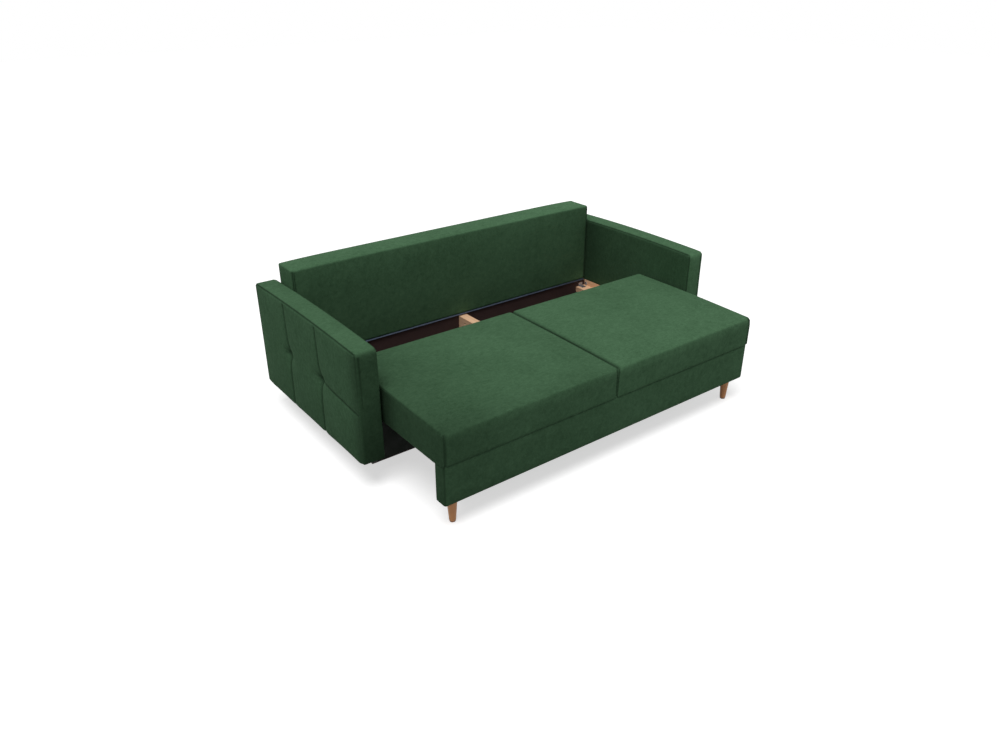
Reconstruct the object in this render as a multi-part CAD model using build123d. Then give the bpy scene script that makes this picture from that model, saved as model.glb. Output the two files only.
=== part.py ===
from build123d import *
import math
import os

# Pull-out sofa bed with a bedding box, in millimetres. +X is to the right as seen from the front, which is
# also what left and right mean in the names, +Y is to the rear and +Z is up. The origin is on the floor, at
# the centre of the footprint with the seat pulled out. The model stands with its seat out and its back
# upright.

# Overall sizes
overall_width = 2100
arm_thickness = 100
arm_depth = 1012
arm_top = 665
arm_bottom = 135
back_height = 456
back_thickness = 156
back_bottom = 306
back_rear_inset = 59
seat_depth = 768
seat_travel = 430
seat_bottom = 300
seat_edge_top = 459
panel_thickness = 67
panel_bottom = 125
base_bottom = 80

# Clearances
side_clearance = 20
closed_gap = 37
panel_gap = 18
back_side_clearance = 5
cushion_split = 4
rail_clearance = 3
rest_gap = 0.3
hole_clearance = 0.1
running_clearance = 0.05

# Soft forms
seat_soft_radius = 24
seat_crown = 18
seat_crown_reach = 230
seat_draw_in = 4
back_soft_radius = 16
back_crown = 9
back_crown_reach = 130
back_draw_in = 4
arm_soft_radius = 12
arm_corner_radius = 18
arm_face_inset = 4.2
arm_top_crown = 7
panel_soft_radius = 10
panel_crown = 5
panel_crown_reach = 45
bay_depth = 16
bay_reach = 75
bay_corner = 10
bay_margin = 7
bay_edge_inset = 1.4
seam_gap = 9
seam_rear_offset = 325
seam_pitch = 325
tuft_height = 402
front_seam_drop = 16
tuft_radius = 38
tuft_root_radius = 6

# Wall thicknesses of the upholstery
seat_wall = 25
seat_pad_top = 39
back_wall = 40
back_bottom_wall = 4
back_front_wall = 45
arm_front_wall = 25
arm_outer_wall = 30
arm_top_wall = 25
panel_front_wall = 23
panel_edge_wall = 5

# Boards and panels
side_rail_thickness = 25
front_rail_thickness = 18
front_rail_drop = 15
hinge_rail_depth = 44
hinge_rail_height = 100
rear_rail_depth = 44
rear_panel_thickness = 12
rear_panel_reveal = 6
lining_thickness = 4
floor_thickness = 4
runner_width = 70
runner_height = 30
runner_top = 262
centre_rail_width = 50
centre_rail_height = 90
centre_rail_offset = 20
centre_rail_drop = 6
arm_board_width = 60
dust_cover_thickness = 1.5
seat_rail_height = 45
seat_rail_width = 40
seat_front_rail_width = 45
stretcher_width = 30
stretcher_spacing = 450
stretcher_drop = 5
back_rail_height = 40
back_stile_width = 40
back_stile_spacing = 300
back_foam_thickness = 50
back_panel_thickness = 6
webbing_width = 50
webbing_thickness = 1.5
webbing_spacing = 230
webbing_pairs = 3

# Springs
spring_wire_radius = 2
spring_amplitude = 24
spring_pitch = 28
spring_pairs = 4
spring_spacing = 200
spring_first = 130
spring_bearing = 20

# Legs and feet
leg_side_inset = 65
leg_front_inset = 51
leg_top_radius = 23
leg_foot_radius = 15
leg_plate_width = 70
leg_plate_depth = 45
leg_plate_thickness = 3
leg_bolt_radius = 4
leg_bolt_in_leg = 40
leg_bolt_in_core = 30
glide_thickness = 4
glide_lip = 2
foot_side_inset = 70
foot_front_inset = 150
foot_rear_inset = 72
foot_top_radius = 28
foot_bottom_radius = 24
foot_flange_radius = 34
foot_flange_thickness = 5

# Hinge
knuckle_radius = 4
knuckle_count = 21
knuckle_gap = 0.4
knuckle_relief = 0.6
hinge_end_inset = 10
hinge_forward = 2
hinge_set_back = 6
pin_radius = 2
leaf_width = 32
leaf_thickness = 1.5
hinge_screw_radius = 1.8
hinge_screw_head_radius = 3.6
hinge_screw_length = 25
hinge_screw_pairs = 4
hinge_screw_inset = 8

# Rollers
roller_radius = 17
roller_width = 20
roller_edge_radius = 2
roller_axle_radius = 4
roller_side_inset = 55
roller_cheek_gap = 1
bracket_thickness = 2.5
bracket_length = 46
bracket_flange = 6
axle_head = 3
axle_head_radius = 6
stop_length = 30
stop_gap = 1

# Fasteners and small fittings
button_radius = 12
button_dome = 6
button_rim = 2
button_flat = 0.5
button_shank_radius = 2.5
button_sink = 9
bolt_radius = 4
bolt_head_radius = 10
bolt_head_thickness = 4
arm_bolt_height = 272
arm_bolt_rear_inset = 229
corner_bracket_width = 30
corner_bracket_leg = 40
corner_bracket_rise = 22
corner_bracket_thickness = 2.5
corner_bracket_inset = 35
barrel_nut_radius = 6
barrel_nut_length = 24
barrel_nut_inset = 60
barrel_nut_sink = 4
barrel_nut_slack = 4
hole_run_out = 1
connector_height = 265
rest_pad_radius = 20
rest_pad_spacing = 800
panel_bracket_width = 40
panel_bracket_leg = 35
panel_bracket_drop = 70
panel_bracket_thickness = 3
panel_bracket_spacing = 620

# Places worked out from the sizes above
half_width = overall_width / 2
inner_half = half_width - arm_thickness
overall_depth = seat_depth + seat_travel + closed_gap + back_thickness + back_rear_inset
front_y = -overall_depth / 2
rear_y = overall_depth / 2
arm_front = rear_y - arm_depth
back_rear = rear_y - back_rear_inset
back_front = back_rear - back_thickness
back_top = back_bottom + back_height
back_half = inner_half - back_side_clearance
seat_half = inner_half - side_clearance
seat_rear = front_y + seat_depth
base_front = front_y + panel_thickness + seat_travel + panel_gap
base_rear = back_rear + rear_panel_reveal
base_top = seat_bottom - rail_clearance
side_rail_outer = inner_half + side_rail_thickness
hinge_y = back_front - hinge_forward
hinge_z = back_bottom - knuckle_radius
hinge_rail_top = hinge_z - knuckle_radius
hinge_rail_front = back_front + hinge_set_back
lining_front = hinge_rail_front - lining_thickness
front_rail_rear = base_front + front_rail_thickness
front_rail_top = seat_bottom - front_rail_drop
rear_rail_rear = base_rear - rear_panel_thickness
rear_rail_front = rear_rail_rear - rear_rail_depth
runner_inner = inner_half - runner_width
centre_rail_left = centre_rail_offset - centre_rail_width / 2
centre_rail_right = centre_rail_offset + centre_rail_width / 2
centre_rail_top = seat_bottom - centre_rail_drop
seat_rail_top = seat_bottom + seat_rail_height
seat_pocket_top = seat_edge_top - seat_pad_top
seat_frame_half = seat_half - seat_wall
seat_frame_front = front_y + seat_wall
seat_frame_rear = seat_rear - seat_wall
spring_top = seat_rail_top + 2 * spring_wire_radius
panel_rear = front_y + panel_thickness
panel_core_front = front_y + panel_front_wall
panel_core_bottom = panel_bottom + panel_edge_wall
leg_x = seat_half - leg_side_inset
leg_y = front_y + leg_front_inset
leg_top = panel_bottom - leg_plate_thickness
roller_x = inner_half - roller_side_inset
roller_y = seat_frame_rear - seat_rail_width / 2
roller_z = runner_top + roller_radius + rest_gap
back_frame_half = back_half - back_wall
back_frame_bottom = back_bottom + back_bottom_wall
back_frame_top = back_top - back_wall
back_foam_front = back_front + back_front_wall
back_webbing_front = back_foam_front + back_foam_thickness
back_frame_front = back_webbing_front + webbing_thickness
back_frame_rear = back_rear - back_panel_thickness
arm_pocket_outer = half_width - arm_outer_wall
arm_pocket_front = arm_front + arm_front_wall
arm_pocket_rear = rear_y - arm_front_wall
arm_pocket_top = arm_top - arm_top_wall
arm_face = half_width - bay_depth
rear_seam = rear_y - seam_rear_offset
front_seam = rear_seam - seam_pitch
tuft_depth = bay_depth
hinge_half = back_half - hinge_end_inset


def slab(x0, x1, y0, y1, z0, z1):
    """A box between two corners."""
    return Pos(x0, y0, z0) * Box(x1 - x0, y1 - y0, z1 - z0, align=(Align.MIN, Align.MIN, Align.MIN))


def rod_x(x0, x1, y, z, radius):
    """A round bar along X."""
    return Pos((x0 + x1) / 2, y, z) * Rot(0, 90, 0) * Cylinder(radius, x1 - x0)


def rod_y(x, y0, y1, z, radius):
    """A round bar along Y."""
    return Pos(x, (y0 + y1) / 2, z) * Rot(90, 0, 0) * Cylinder(radius, y1 - y0)


def rod_z(x, y, z0, z1, radius):
    """A round bar along Z."""
    return Pos(x, y, (z0 + z1) / 2) * Cylinder(radius, z1 - z0)


def mirrored(shape):
    """The left-hand twin of a right-hand piece."""
    return mirror(shape, about=Plane.YZ)


def outline(plane, width, height, corner, draw_in):
    """A rectangle of four bowed sides and four corner arcs; draw_in is (bottom, right, top, left)."""
    a = width / 2
    b = height / 2
    c = corner
    k = corner * (1 - math.sqrt(0.5))
    low, right, top, left = draw_in
    corners = [
        [(a - c, -b), (a - k, -b + k), (a, -b + c)],
        [(a, b - c), (a - k, b - k), (a - c, b)],
        [(-a + c, b), (-a + k, b - k), (-a, b - c)],
        [(-a, -b + c), (-a + k, -b + k), (-a + c, -b)],
    ]
    middles = [(a - right, 0), (0, b - top), (-a + left, 0), (0, -b + low)]
    edges = []
    for index, arc in enumerate(corners):
        start = arc[2]
        end = corners[(index + 1) % 4][0]
        middle = middles[index]
        straight = (right, top, left, low)[index] == 0
        edges.append(ThreePointArc(*arc))
        edges.append(Line(start, end) if straight else ThreePointArc(start, middle, end))
    return plane * make_face(edges)


def lower_roll(radius):
    """(depth, inset) pairs of a pad's rolled lower edge."""
    shares = ((0, 0.5), (0.3, 0.12))
    return [(radius * depth, radius * inset) for depth, inset in shares]


def soft_levels(depth, radius, crown, reach):
    """(depth, inset) pairs for a pad: rolled lower edge, upright side, rolled upper edge, then the crown."""
    upright_start = 0.8
    roll_degrees = (0, 20, 40, 60, 80)
    crown_shares = (0.15, 0.35, 0.6, 1)
    levels = lower_roll(radius) + [(radius * upright_start, 0)]
    for degrees in roll_degrees:
        turn = math.radians(degrees)
        levels.append((depth - radius * (1 - math.sin(turn)), radius * (1 - math.cos(turn))))
    for share in crown_shares:
        levels.append((depth + crown * (1 - (1 - share) ** 2), radius + reach * share))
    return levels


def pad(place, width, height, corner, draw_in, levels):
    """A crowned pad lofted through the outline at each level; place(depth) gives the level's plane."""
    corner_easing = 0.5
    least_corner = 0.4
    sections = []
    for depth, inset in levels:
        rounding = max(corner - inset * corner_easing, corner * least_corner)
        w = width - 2 * inset
        h = height - 2 * inset
        share = w / width
        sections.append(outline(place(depth), w, h, rounding, [d * share for d in draw_in]))
    return loft(sections, ruled=True)


def up_from(x, y, z):
    """Level planes that rise from a point."""
    return lambda depth: Plane((x, y, z + depth), x_dir=(1, 0, 0), z_dir=(0, 0, 1))


def forward_from(x, y, z):
    """Level planes that step forward, towards -Y, from a point."""
    return lambda depth: Plane((x, y - depth, z), x_dir=(1, 0, 0), z_dir=(0, -1, 0))


def outward_from(x, y, z):
    """Level planes that step outward, towards +X, from a point."""
    return lambda depth: Plane((x + depth, y, z), x_dir=(0, 1, 0), z_dir=(1, 0, 0))


# Base box
def side_rail():
    holes = [rod_x(inner_half, side_rail_outer, y, arm_bolt_height, bolt_radius + hole_clearance)
             for y in arm_bolt_places()]
    return slab(inner_half, side_rail_outer, base_front, base_rear, base_bottom, base_top) - holes


def runner():
    return slab(runner_inner, inner_half, front_rail_rear, lining_front, runner_top - runner_height,
                runner_top)


def runner_stop():
    rear = roller_y - bracket_length / 2 - stop_gap
    half = roller_width / 2 + roller_cheek_gap + bracket_thickness
    return slab(roller_x - half, roller_x + half, rear - stop_length, rear, runner_top,
                runner_top + roller_radius)


def connector_cut(radius_gap):
    """Bolt and barrel nut of the centre rail's two end joints, with a gap all round."""
    pieces = []
    for start, end, nut in connector_places():
        low = min(start, end)
        high = max(start, end)
        pieces.append(rod_y(centre_rail_offset, low, high, connector_height, bolt_radius + radius_gap))
        hole_end = centre_rail_left + barrel_nut_sink + barrel_nut_length + barrel_nut_slack + 2 * radius_gap
        pieces.append(rod_x(centre_rail_left - hole_run_out, hole_end, nut, connector_height,
                            barrel_nut_radius + radius_gap))
    return pieces


def connector_places():
    """(outer end, inner end, barrel nut place) of each connector bolt."""
    rear_nut = lining_front - barrel_nut_inset
    front_nut = front_rail_rear + barrel_nut_inset
    return [(hinge_rail_front + hinge_rail_depth, rear_nut, rear_nut), (base_front, front_nut, front_nut)]


def centre_rail():
    bar = slab(centre_rail_left, centre_rail_right, front_rail_rear, lining_front,
               centre_rail_top - centre_rail_height, centre_rail_top)
    return bar - connector_cut(hole_clearance)


def front_rail():
    board = slab(-inner_half, inner_half, base_front, front_rail_rear, base_bottom, front_rail_top)
    return board - connector_cut(hole_clearance)


def hinge_rail():
    beam = slab(-inner_half, inner_half, hinge_rail_front, hinge_rail_front + hinge_rail_depth,
                hinge_rail_top - hinge_rail_height, hinge_rail_top)
    screws = [rod_z(x, hinge_screw_y(), hinge_rail_top - hinge_screw_length, hinge_rail_top,
                    hinge_screw_radius + hole_clearance) for x in hinge_screw_places()]
    return beam - connector_cut(hole_clearance) - screws


def rear_lining():
    sheet = slab(-inner_half, inner_half, lining_front, hinge_rail_front, base_bottom, hinge_rail_top)
    return sheet - connector_cut(hole_clearance)


def rear_rail():
    return slab(-inner_half, inner_half, rear_rail_front, rear_rail_rear, base_bottom, hinge_rail_top)


def rear_panel():
    return slab(-inner_half, inner_half, rear_rail_rear, base_rear, base_bottom, hinge_rail_top)


def box_floor():
    return slab(-side_rail_outer, side_rail_outer, base_front, base_rear, base_bottom - floor_thickness,
                base_bottom)


def base_feet():
    top = base_bottom - floor_thickness
    flange = Pos(0, 0, top - foot_flange_thickness / 2) * Cylinder(foot_flange_radius, foot_flange_thickness)
    height = top - foot_flange_thickness
    peg = Pos(0, 0, height / 2) * Cone(foot_bottom_radius, foot_top_radius, height)
    foot = flange + peg
    xs = (foot_side_inset - inner_half, centre_rail_offset, inner_half - foot_side_inset)
    ys = (base_front + foot_front_inset, base_rear - foot_rear_inset)
    return [Pos(x, y, 0) * foot for x in xs for y in ys]


def rest_pads():
    y = (rear_rail_front + rear_rail_rear) / 2
    return [rod_z(x, y, hinge_rail_top, back_bottom - rest_gap, rest_pad_radius)
            for x in (-rest_pad_spacing, 0, rest_pad_spacing)]


def corner_bracket(y, facing):
    """An angle bracket on a runner's end; facing is 1 where its upright stands to the rear."""
    x0 = inner_half - corner_bracket_inset - corner_bracket_width / 2
    x1 = x0 + corner_bracket_width
    t = corner_bracket_thickness
    near = y - facing * t
    far = y - facing * corner_bracket_leg
    foot = slab(x0, x1, min(y, far), max(y, far), runner_top, runner_top + t)
    upright = slab(x0, x1, min(y, near), max(y, near), runner_top, runner_top + corner_bracket_rise)
    return foot + upright


def corner_brackets():
    right = [corner_bracket(lining_front, 1), corner_bracket(front_rail_rear, -1)]
    return right + [mirrored(piece) for piece in right]


def connector_bolts():
    bolts = []
    for start, end, nut in connector_places():
        out = 1 if start > end else -1
        low = min(start, end)
        high = max(start, end)
        shank = rod_y(centre_rail_offset, low, high, connector_height, bolt_radius)
        head_end = start + out * bolt_head_thickness
        head = rod_y(centre_rail_offset, min(start, head_end), max(start, head_end), connector_height,
                     bolt_head_radius)
        bolts.append(shank + head)
    return bolts


def barrel_nuts():
    nuts = []
    face = centre_rail_left + barrel_nut_sink
    for start, end, nut in connector_places():
        body = rod_x(face, face + barrel_nut_length, nut, connector_height, barrel_nut_radius)
        bore = rod_y(centre_rail_offset, min(start, end), max(start, end), connector_height,
                     bolt_radius + hole_clearance)
        nuts.append(body - bore)
    return nuts


# Arms
def arm_bolt_places():
    """Front, middle and rear bolts, each where the side rail and the arm's frame both are."""
    front = max(base_front, arm_pocket_front) + arm_board_width / 2
    middle = (arm_pocket_front + arm_pocket_rear) / 2
    return (front, middle, rear_y - arm_bolt_rear_inset)


def arm_bolts():
    bolts = []
    for y in arm_bolt_places():
        shank = rod_x(inner_half, arm_pocket_outer, y, arm_bolt_height, bolt_radius)
        head = rod_x(inner_half - bolt_head_thickness, inner_half, y, arm_bolt_height, bolt_head_radius)
        bolts.append(shank + head)
    return bolts + [mirrored(bolt) for bolt in bolts]


def arm_frame():
    """Top rail, bottom rail, bolt rail and three posts inside the right arm."""
    x0 = side_rail_outer
    x1 = arm_pocket_outer
    w = arm_board_width
    holes = [rod_x(x0, x1, y, arm_bolt_height, bolt_radius + hole_clearance) for y in arm_bolt_places()]
    middle = (arm_pocket_front + arm_pocket_rear) / 2
    top_rail = slab(x0, x1, arm_pocket_front, arm_pocket_rear, arm_pocket_top - w, arm_pocket_top)
    foot_rail = slab(x0, x1, arm_pocket_front, arm_pocket_rear, arm_bottom, arm_bottom + w)
    bolt_rail_low = arm_bolt_height - w / 2
    bolt_rail_high = arm_bolt_height + w / 2
    posts = []
    bolt_rails = []
    starts = (arm_pocket_front, middle - w / 2, arm_pocket_rear - w)
    for y in starts:
        post = slab(x0, x1, y, y + w, arm_bottom + w, arm_pocket_top - w)
        posts.append(post - holes)
    for low, high in ((starts[0] + w, starts[1]), (starts[1] + w, starts[2])):
        bolt_rails.append(slab(x0, x1, low, high, bolt_rail_low, bolt_rail_high) - holes)
    return [top_rail, foot_rail] + posts + bolt_rails


def bay(y0, y1, z0, z1):
    """One stuffed bay of the arm's outer panel."""
    depth = bay_depth + arm_soft_radius
    place = outward_from(arm_face - arm_soft_radius, (y0 + y1) / 2, (z0 + z1) / 2)
    levels = [(0, 0), (arm_soft_radius, bay_edge_inset)]
    crown_shares = (0.2, 0.4, 0.6, 0.8, 1)
    fullness = 1.6
    for share in crown_shares:
        rise = bay_depth * (1 - (1 - share) ** 2)
        levels.append((depth - bay_depth + rise, bay_edge_inset + bay_reach * share ** fullness))
    return pad(place, y1 - y0, z1 - z0, bay_corner, (0, 0, 0, 0), levels)


def arm_upholstery():
    """Right arm: boxed body with a crowned top, and an outer panel in bays pulled in by two buttons."""
    body_depth = arm_face - inner_half
    levels = lower_roll(arm_soft_radius) + [(arm_soft_radius, 0)]
    levels += [(body_depth - arm_soft_radius, 0), (body_depth, arm_face_inset)]
    centre_y = (arm_front + rear_y) / 2
    centre_z = (arm_bottom + arm_top) / 2
    place = outward_from(inner_half, centre_y, centre_z)
    body = pad(place, arm_depth, arm_top - arm_bottom, arm_corner_radius, (0, 0, -arm_top_crown, 0), levels)
    half_gap = seam_gap / 2
    low = arm_bottom + bay_margin
    high = arm_top - bay_margin
    split = tuft_height - front_seam_drop
    bays = [
        bay(rear_seam + half_gap, rear_y - bay_margin, low, high),
        bay(front_seam + half_gap, rear_seam - half_gap, low, high),
        bay(arm_front + bay_margin, front_seam - half_gap, split + half_gap, high),
        bay(arm_front + bay_margin, front_seam - half_gap, low, split - half_gap),
    ]
    arm = body
    for piece in bays:
        arm = arm + piece
    tufts = [Pos(half_width - tuft_depth / 2, y, tuft_height) * Rot(0, 90, 0)
             * Cone(tuft_root_radius, tuft_radius, tuft_depth) for y in (rear_seam, front_seam)]
    shanks = [rod_x(arm_pocket_outer, half_width, y, tuft_height, button_shank_radius + hole_clearance)
              for y in (rear_seam, front_seam)]
    pocket = slab(side_rail_outer, arm_pocket_outer, arm_pocket_front, arm_pocket_rear, arm_bottom,
                  arm_pocket_top)
    rebate = slab(inner_half, side_rail_outer, base_front, base_rear, arm_bottom, base_top)
    return arm - tufts - shanks - pocket - rebate


def arm_buttons():
    """Two covered buttons with their shanks, on the right arm."""
    seat_x = half_width - button_sink
    rim_x = seat_x + button_rim
    crown_height = button_dome - button_rim
    buttons = []
    for y in (rear_seam, front_seam):
        shank = rod_x(arm_pocket_outer, seat_x, y, tuft_height, button_shank_radius)
        rim = rod_x(seat_x, rim_x, y, tuft_height, button_radius)
        crown = Pos(rim_x + crown_height / 2, y, tuft_height) * Rot(0, 90, 0) * Cone(
            button_radius, button_radius * button_flat, crown_height)
        buttons.append(shank + rim + crown)
    return buttons


def arm_dust_cover():
    low = arm_bottom - dust_cover_thickness
    return slab(side_rail_outer, arm_pocket_outer, arm_pocket_front, arm_pocket_rear, low, arm_bottom)


# Hinge
def hinge_screw_places():
    pitch = 2 * hinge_half / (2 * hinge_screw_pairs)
    return [-hinge_half + pitch * (index + 0.5) for index in range(2 * hinge_screw_pairs)]


def hinge_screw_y():
    return hinge_y + leaf_width - hinge_screw_inset


def hinge_leaf(first, plate_low, plate_high):
    """A leaf with every other knuckle, starting from the one at index first."""
    pitch = 2 * hinge_half / knuckle_count
    plate_front = hinge_y + knuckle_radius + knuckle_relief
    leaf = slab(-hinge_half, hinge_half, plate_front, hinge_y + leaf_width, plate_low, plate_high)
    for index in range(first, knuckle_count, 2):
        x0 = -hinge_half + pitch * index + knuckle_gap / 2
        x1 = x0 + pitch - knuckle_gap
        leaf = leaf + rod_x(x0, x1, hinge_y, hinge_z, knuckle_radius)
        leaf = leaf + slab(x0, x1, hinge_y, plate_front, plate_low, plate_high)
    leaf = leaf - rod_x(-hinge_half, hinge_half, hinge_y, hinge_z, pin_radius + running_clearance)
    screws = [rod_z(x, hinge_screw_y(), plate_low, plate_high, hinge_screw_radius + hole_clearance)
              for x in hinge_screw_places()]
    return leaf - screws


def hinge_leaf_base():
    return hinge_leaf(0, hinge_z - knuckle_radius, hinge_z - knuckle_radius + leaf_thickness)


def hinge_leaf_back():
    return hinge_leaf(1, hinge_z + knuckle_radius - leaf_thickness, hinge_z + knuckle_radius)


def hinge_pin():
    return rod_x(-hinge_half, hinge_half, hinge_y, hinge_z, pin_radius)


def hinge_screws(plate_face, direction):
    """Pan-head screws through a leaf; direction is 1 where they drive upward."""
    screws = []
    for x in hinge_screw_places():
        tip = plate_face + direction * hinge_screw_length
        shank = rod_z(x, hinge_screw_y(), min(plate_face, tip), max(plate_face, tip), hinge_screw_radius)
        head_end = plate_face - direction * leaf_thickness
        head = rod_z(x, hinge_screw_y(), min(plate_face, head_end), max(plate_face, head_end),
                     hinge_screw_head_radius)
        screws.append(shank + head)
    return screws


# Back
def back_upholstery():
    centre_z = (back_bottom + back_top) / 2
    place = forward_from(0, back_rear, centre_z)
    levels = soft_levels(back_thickness, back_soft_radius, back_crown, back_crown_reach)
    draw_in = (0, back_draw_in, back_draw_in, back_draw_in)
    cushion = pad(place, 2 * back_half, back_height, back_soft_radius, draw_in, levels)
    pocket = slab(-back_frame_half, back_frame_half, back_foam_front, back_rear, back_frame_bottom,
                  back_frame_top)
    return cushion - pocket - back_screw_holes()


def back_screw_holes():
    face = hinge_z + knuckle_radius
    return [rod_z(x, hinge_screw_y(), face, face + hinge_screw_length, hinge_screw_radius + hole_clearance)
            for x in hinge_screw_places()]


def back_bottom_rail():
    rail = slab(-back_frame_half, back_frame_half, back_frame_front, back_frame_rear, back_frame_bottom,
                back_frame_bottom + back_rail_height)
    return rail - back_screw_holes()


def back_top_rail():
    return slab(-back_frame_half, back_frame_half, back_frame_front, back_frame_rear,
                back_frame_top - back_rail_height, back_frame_top)


def back_stiles():
    low = back_frame_bottom + back_rail_height
    high = back_frame_top - back_rail_height
    half = back_stile_width / 2
    places = (half - back_frame_half, -back_stile_spacing, back_stile_spacing, back_frame_half - half)
    return [slab(x - half, x + half, back_frame_front, back_frame_rear, low, high) for x in places]


def back_webbing():
    straps = []
    for index in range(webbing_pairs):
        x = webbing_spacing * (index + 0.5)
        for centre in (-x, x):
            straps.append(slab(centre - webbing_width / 2, centre + webbing_width / 2, back_webbing_front,
                               back_frame_front, back_frame_bottom, back_frame_top))
    return straps


def back_foam():
    return slab(-back_frame_half, back_frame_half, back_foam_front, back_webbing_front, back_frame_bottom,
                back_frame_top)


def back_rear_panel():
    return slab(-back_frame_half, back_frame_half, back_frame_rear, back_rear, back_frame_bottom,
                back_frame_top)


# Seat
def seat_cushion():
    """Right seat cushion: crowned, with rolled edges and drawn-in sides, open below for the frame."""
    inner = cushion_split / 2
    width = seat_half - inner
    place = up_from((seat_half + inner) / 2, (front_y + seat_rear) / 2, seat_bottom)
    levels = soft_levels(seat_edge_top - seat_bottom, seat_soft_radius, seat_crown, seat_crown_reach)
    cushion = pad(place, width, seat_depth, seat_soft_radius, (seat_draw_in,) * 4, levels)
    frame_space = slab(0, seat_frame_half, seat_frame_front, seat_frame_rear, seat_bottom, seat_rail_top)
    foam_space = slab(inner + seat_wall, seat_frame_half, seat_frame_front, seat_frame_rear, seat_rail_top,
                      seat_pocket_top)
    return cushion - frame_space - foam_space


def seat_foam():
    return slab(cushion_split / 2 + seat_wall, seat_frame_half, seat_frame_front, seat_frame_rear,
                spring_top, seat_pocket_top)


def seat_front_rail():
    return slab(-seat_frame_half, seat_frame_half, seat_frame_front,
                seat_frame_front + seat_front_rail_width, seat_bottom, seat_rail_top)


def seat_rear_rail():
    return slab(-seat_frame_half, seat_frame_half, seat_frame_rear - seat_rail_width, seat_frame_rear,
                seat_bottom, seat_rail_top)


def seat_side_rails():
    rail = slab(seat_frame_half - seat_rail_width, seat_frame_half, seat_frame_front + seat_front_rail_width,
                seat_frame_rear - seat_rail_width, seat_bottom, seat_rail_top)
    return [mirrored(rail), rail]


def seat_stretchers():
    half = stretcher_width / 2
    return [slab(x - half, x + half, seat_frame_front + seat_front_rail_width,
                 seat_frame_rear - seat_rail_width, seat_bottom, seat_rail_top - stretcher_drop)
            for x in (-stretcher_spacing, 0, stretcher_spacing)]


def seat_springs():
    """Sinuous springs from the front rail to the rear rail, lying on both."""
    first = seat_frame_front + seat_front_rail_width - spring_bearing
    last = seat_frame_rear - seat_rail_width + spring_bearing
    runs = max(2, round((last - first) / spring_pitch))
    pitch = (last - first) / runs
    level = seat_rail_top + spring_wire_radius
    points = []
    for index in range(runs + 1):
        side = spring_amplitude if index % 2 == 0 else -spring_amplitude
        y = first + pitch * index
        points.append((-side, y, level))
        points.append((side, y, level))
    bend_radius = pitch * 0.48
    path = FilletPolyline(*points, radius=bend_radius)
    start = Plane(origin=path @ 0, z_dir=path % 0)
    wire = sweep(start * Circle(spring_wire_radius), path=path)
    springs = []
    for index in range(spring_pairs):
        x = spring_first + spring_spacing * index
        springs.append(Pos(-x, 0, 0) * wire)
        springs.append(Pos(x, 0, 0) * wire)
    return springs


def seat_dust_cover():
    return slab(-seat_frame_half, seat_frame_half, panel_rear + panel_bracket_leg + panel_bracket_thickness,
                roller_y - bracket_length / 2, seat_bottom - dust_cover_thickness, seat_bottom)


# Front panel and legs
def front_panel_cover():
    height = seat_bottom - panel_bottom
    place = forward_from(0, panel_rear, (panel_bottom + seat_bottom) / 2)
    levels = soft_levels(panel_thickness - panel_crown, panel_soft_radius, panel_crown, panel_crown_reach)
    cover = pad(place, 2 * seat_half, height, panel_soft_radius, (0, 0, 0, 0), levels)
    core_space = slab(-seat_frame_half, seat_frame_half, panel_core_front, panel_rear, panel_core_bottom,
                      seat_bottom)
    return cover - core_space - leg_bolt_holes()


def front_panel_core():
    board = slab(-seat_frame_half, seat_frame_half, panel_core_front, panel_rear, panel_core_bottom,
                 seat_bottom)
    return board - leg_bolt_holes()


def leg_bolt_holes():
    return [rod_z(x, leg_y, leg_top - leg_bolt_in_leg, panel_core_bottom + leg_bolt_in_core,
                  leg_bolt_radius + hole_clearance) for x in (-leg_x, leg_x)]


def panel_brackets():
    t = panel_bracket_thickness
    half = panel_bracket_width / 2
    brackets = []
    for x in (-panel_bracket_spacing, panel_bracket_spacing):
        upright = slab(x - half, x + half, panel_rear, panel_rear + t, seat_bottom - panel_bracket_drop,
                       seat_bottom)
        flange = slab(x - half, x + half, panel_rear, panel_rear + panel_bracket_leg, seat_bottom - t,
                      seat_bottom)
        brackets.append(upright + flange)
    return brackets


def front_leg():
    height = leg_top - glide_thickness
    leg = Pos(leg_x, leg_y, glide_thickness + height / 2) * Cone(leg_foot_radius, leg_top_radius, height)
    return leg - leg_bolt_holes()


def leg_plates():
    plate = slab(leg_x - leg_plate_width / 2, leg_x + leg_plate_width / 2, panel_rear - leg_plate_depth,
                 panel_rear, leg_top, panel_bottom)
    plate = plate - leg_bolt_holes()
    return [mirrored(plate), plate]


def leg_bolts():
    return [rod_z(x, leg_y, leg_top - leg_bolt_in_leg, panel_core_bottom + leg_bolt_in_core, leg_bolt_radius)
            for x in (-leg_x, leg_x)]


def leg_glides():
    return [rod_z(x, leg_y, 0, glide_thickness, leg_foot_radius - glide_lip) for x in (-leg_x, leg_x)]


# Rollers
def roller():
    half = roller_width / 2
    wheel = rod_x(roller_x - half, roller_x + half, roller_y, roller_z, roller_radius)
    wheel = fillet(wheel.edges(), roller_edge_radius)
    bore = rod_x(roller_x - roller_width, roller_x + roller_width, roller_y, roller_z,
                 roller_axle_radius + running_clearance)
    return wheel - bore


def roller_bracket():
    t = bracket_thickness
    inner = roller_width / 2 + roller_cheek_gap
    outer = inner + t
    y0 = roller_y - bracket_length / 2
    y1 = roller_y + bracket_length / 2
    reach = outer + bracket_flange
    plate = slab(roller_x - reach, roller_x + reach, y0, y1, seat_bottom - t, seat_bottom)
    low = roller_z - axle_head_radius
    half = roller_radius
    cheeks = [slab(roller_x + a, roller_x + b, roller_y - half, roller_y + half, low, seat_bottom - t)
              for a, b in ((-outer, -inner), (inner, outer))]
    hole = rod_x(roller_x - outer, roller_x + outer, roller_y, roller_z, roller_axle_radius + hole_clearance)
    return plate + cheeks - hole


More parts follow.
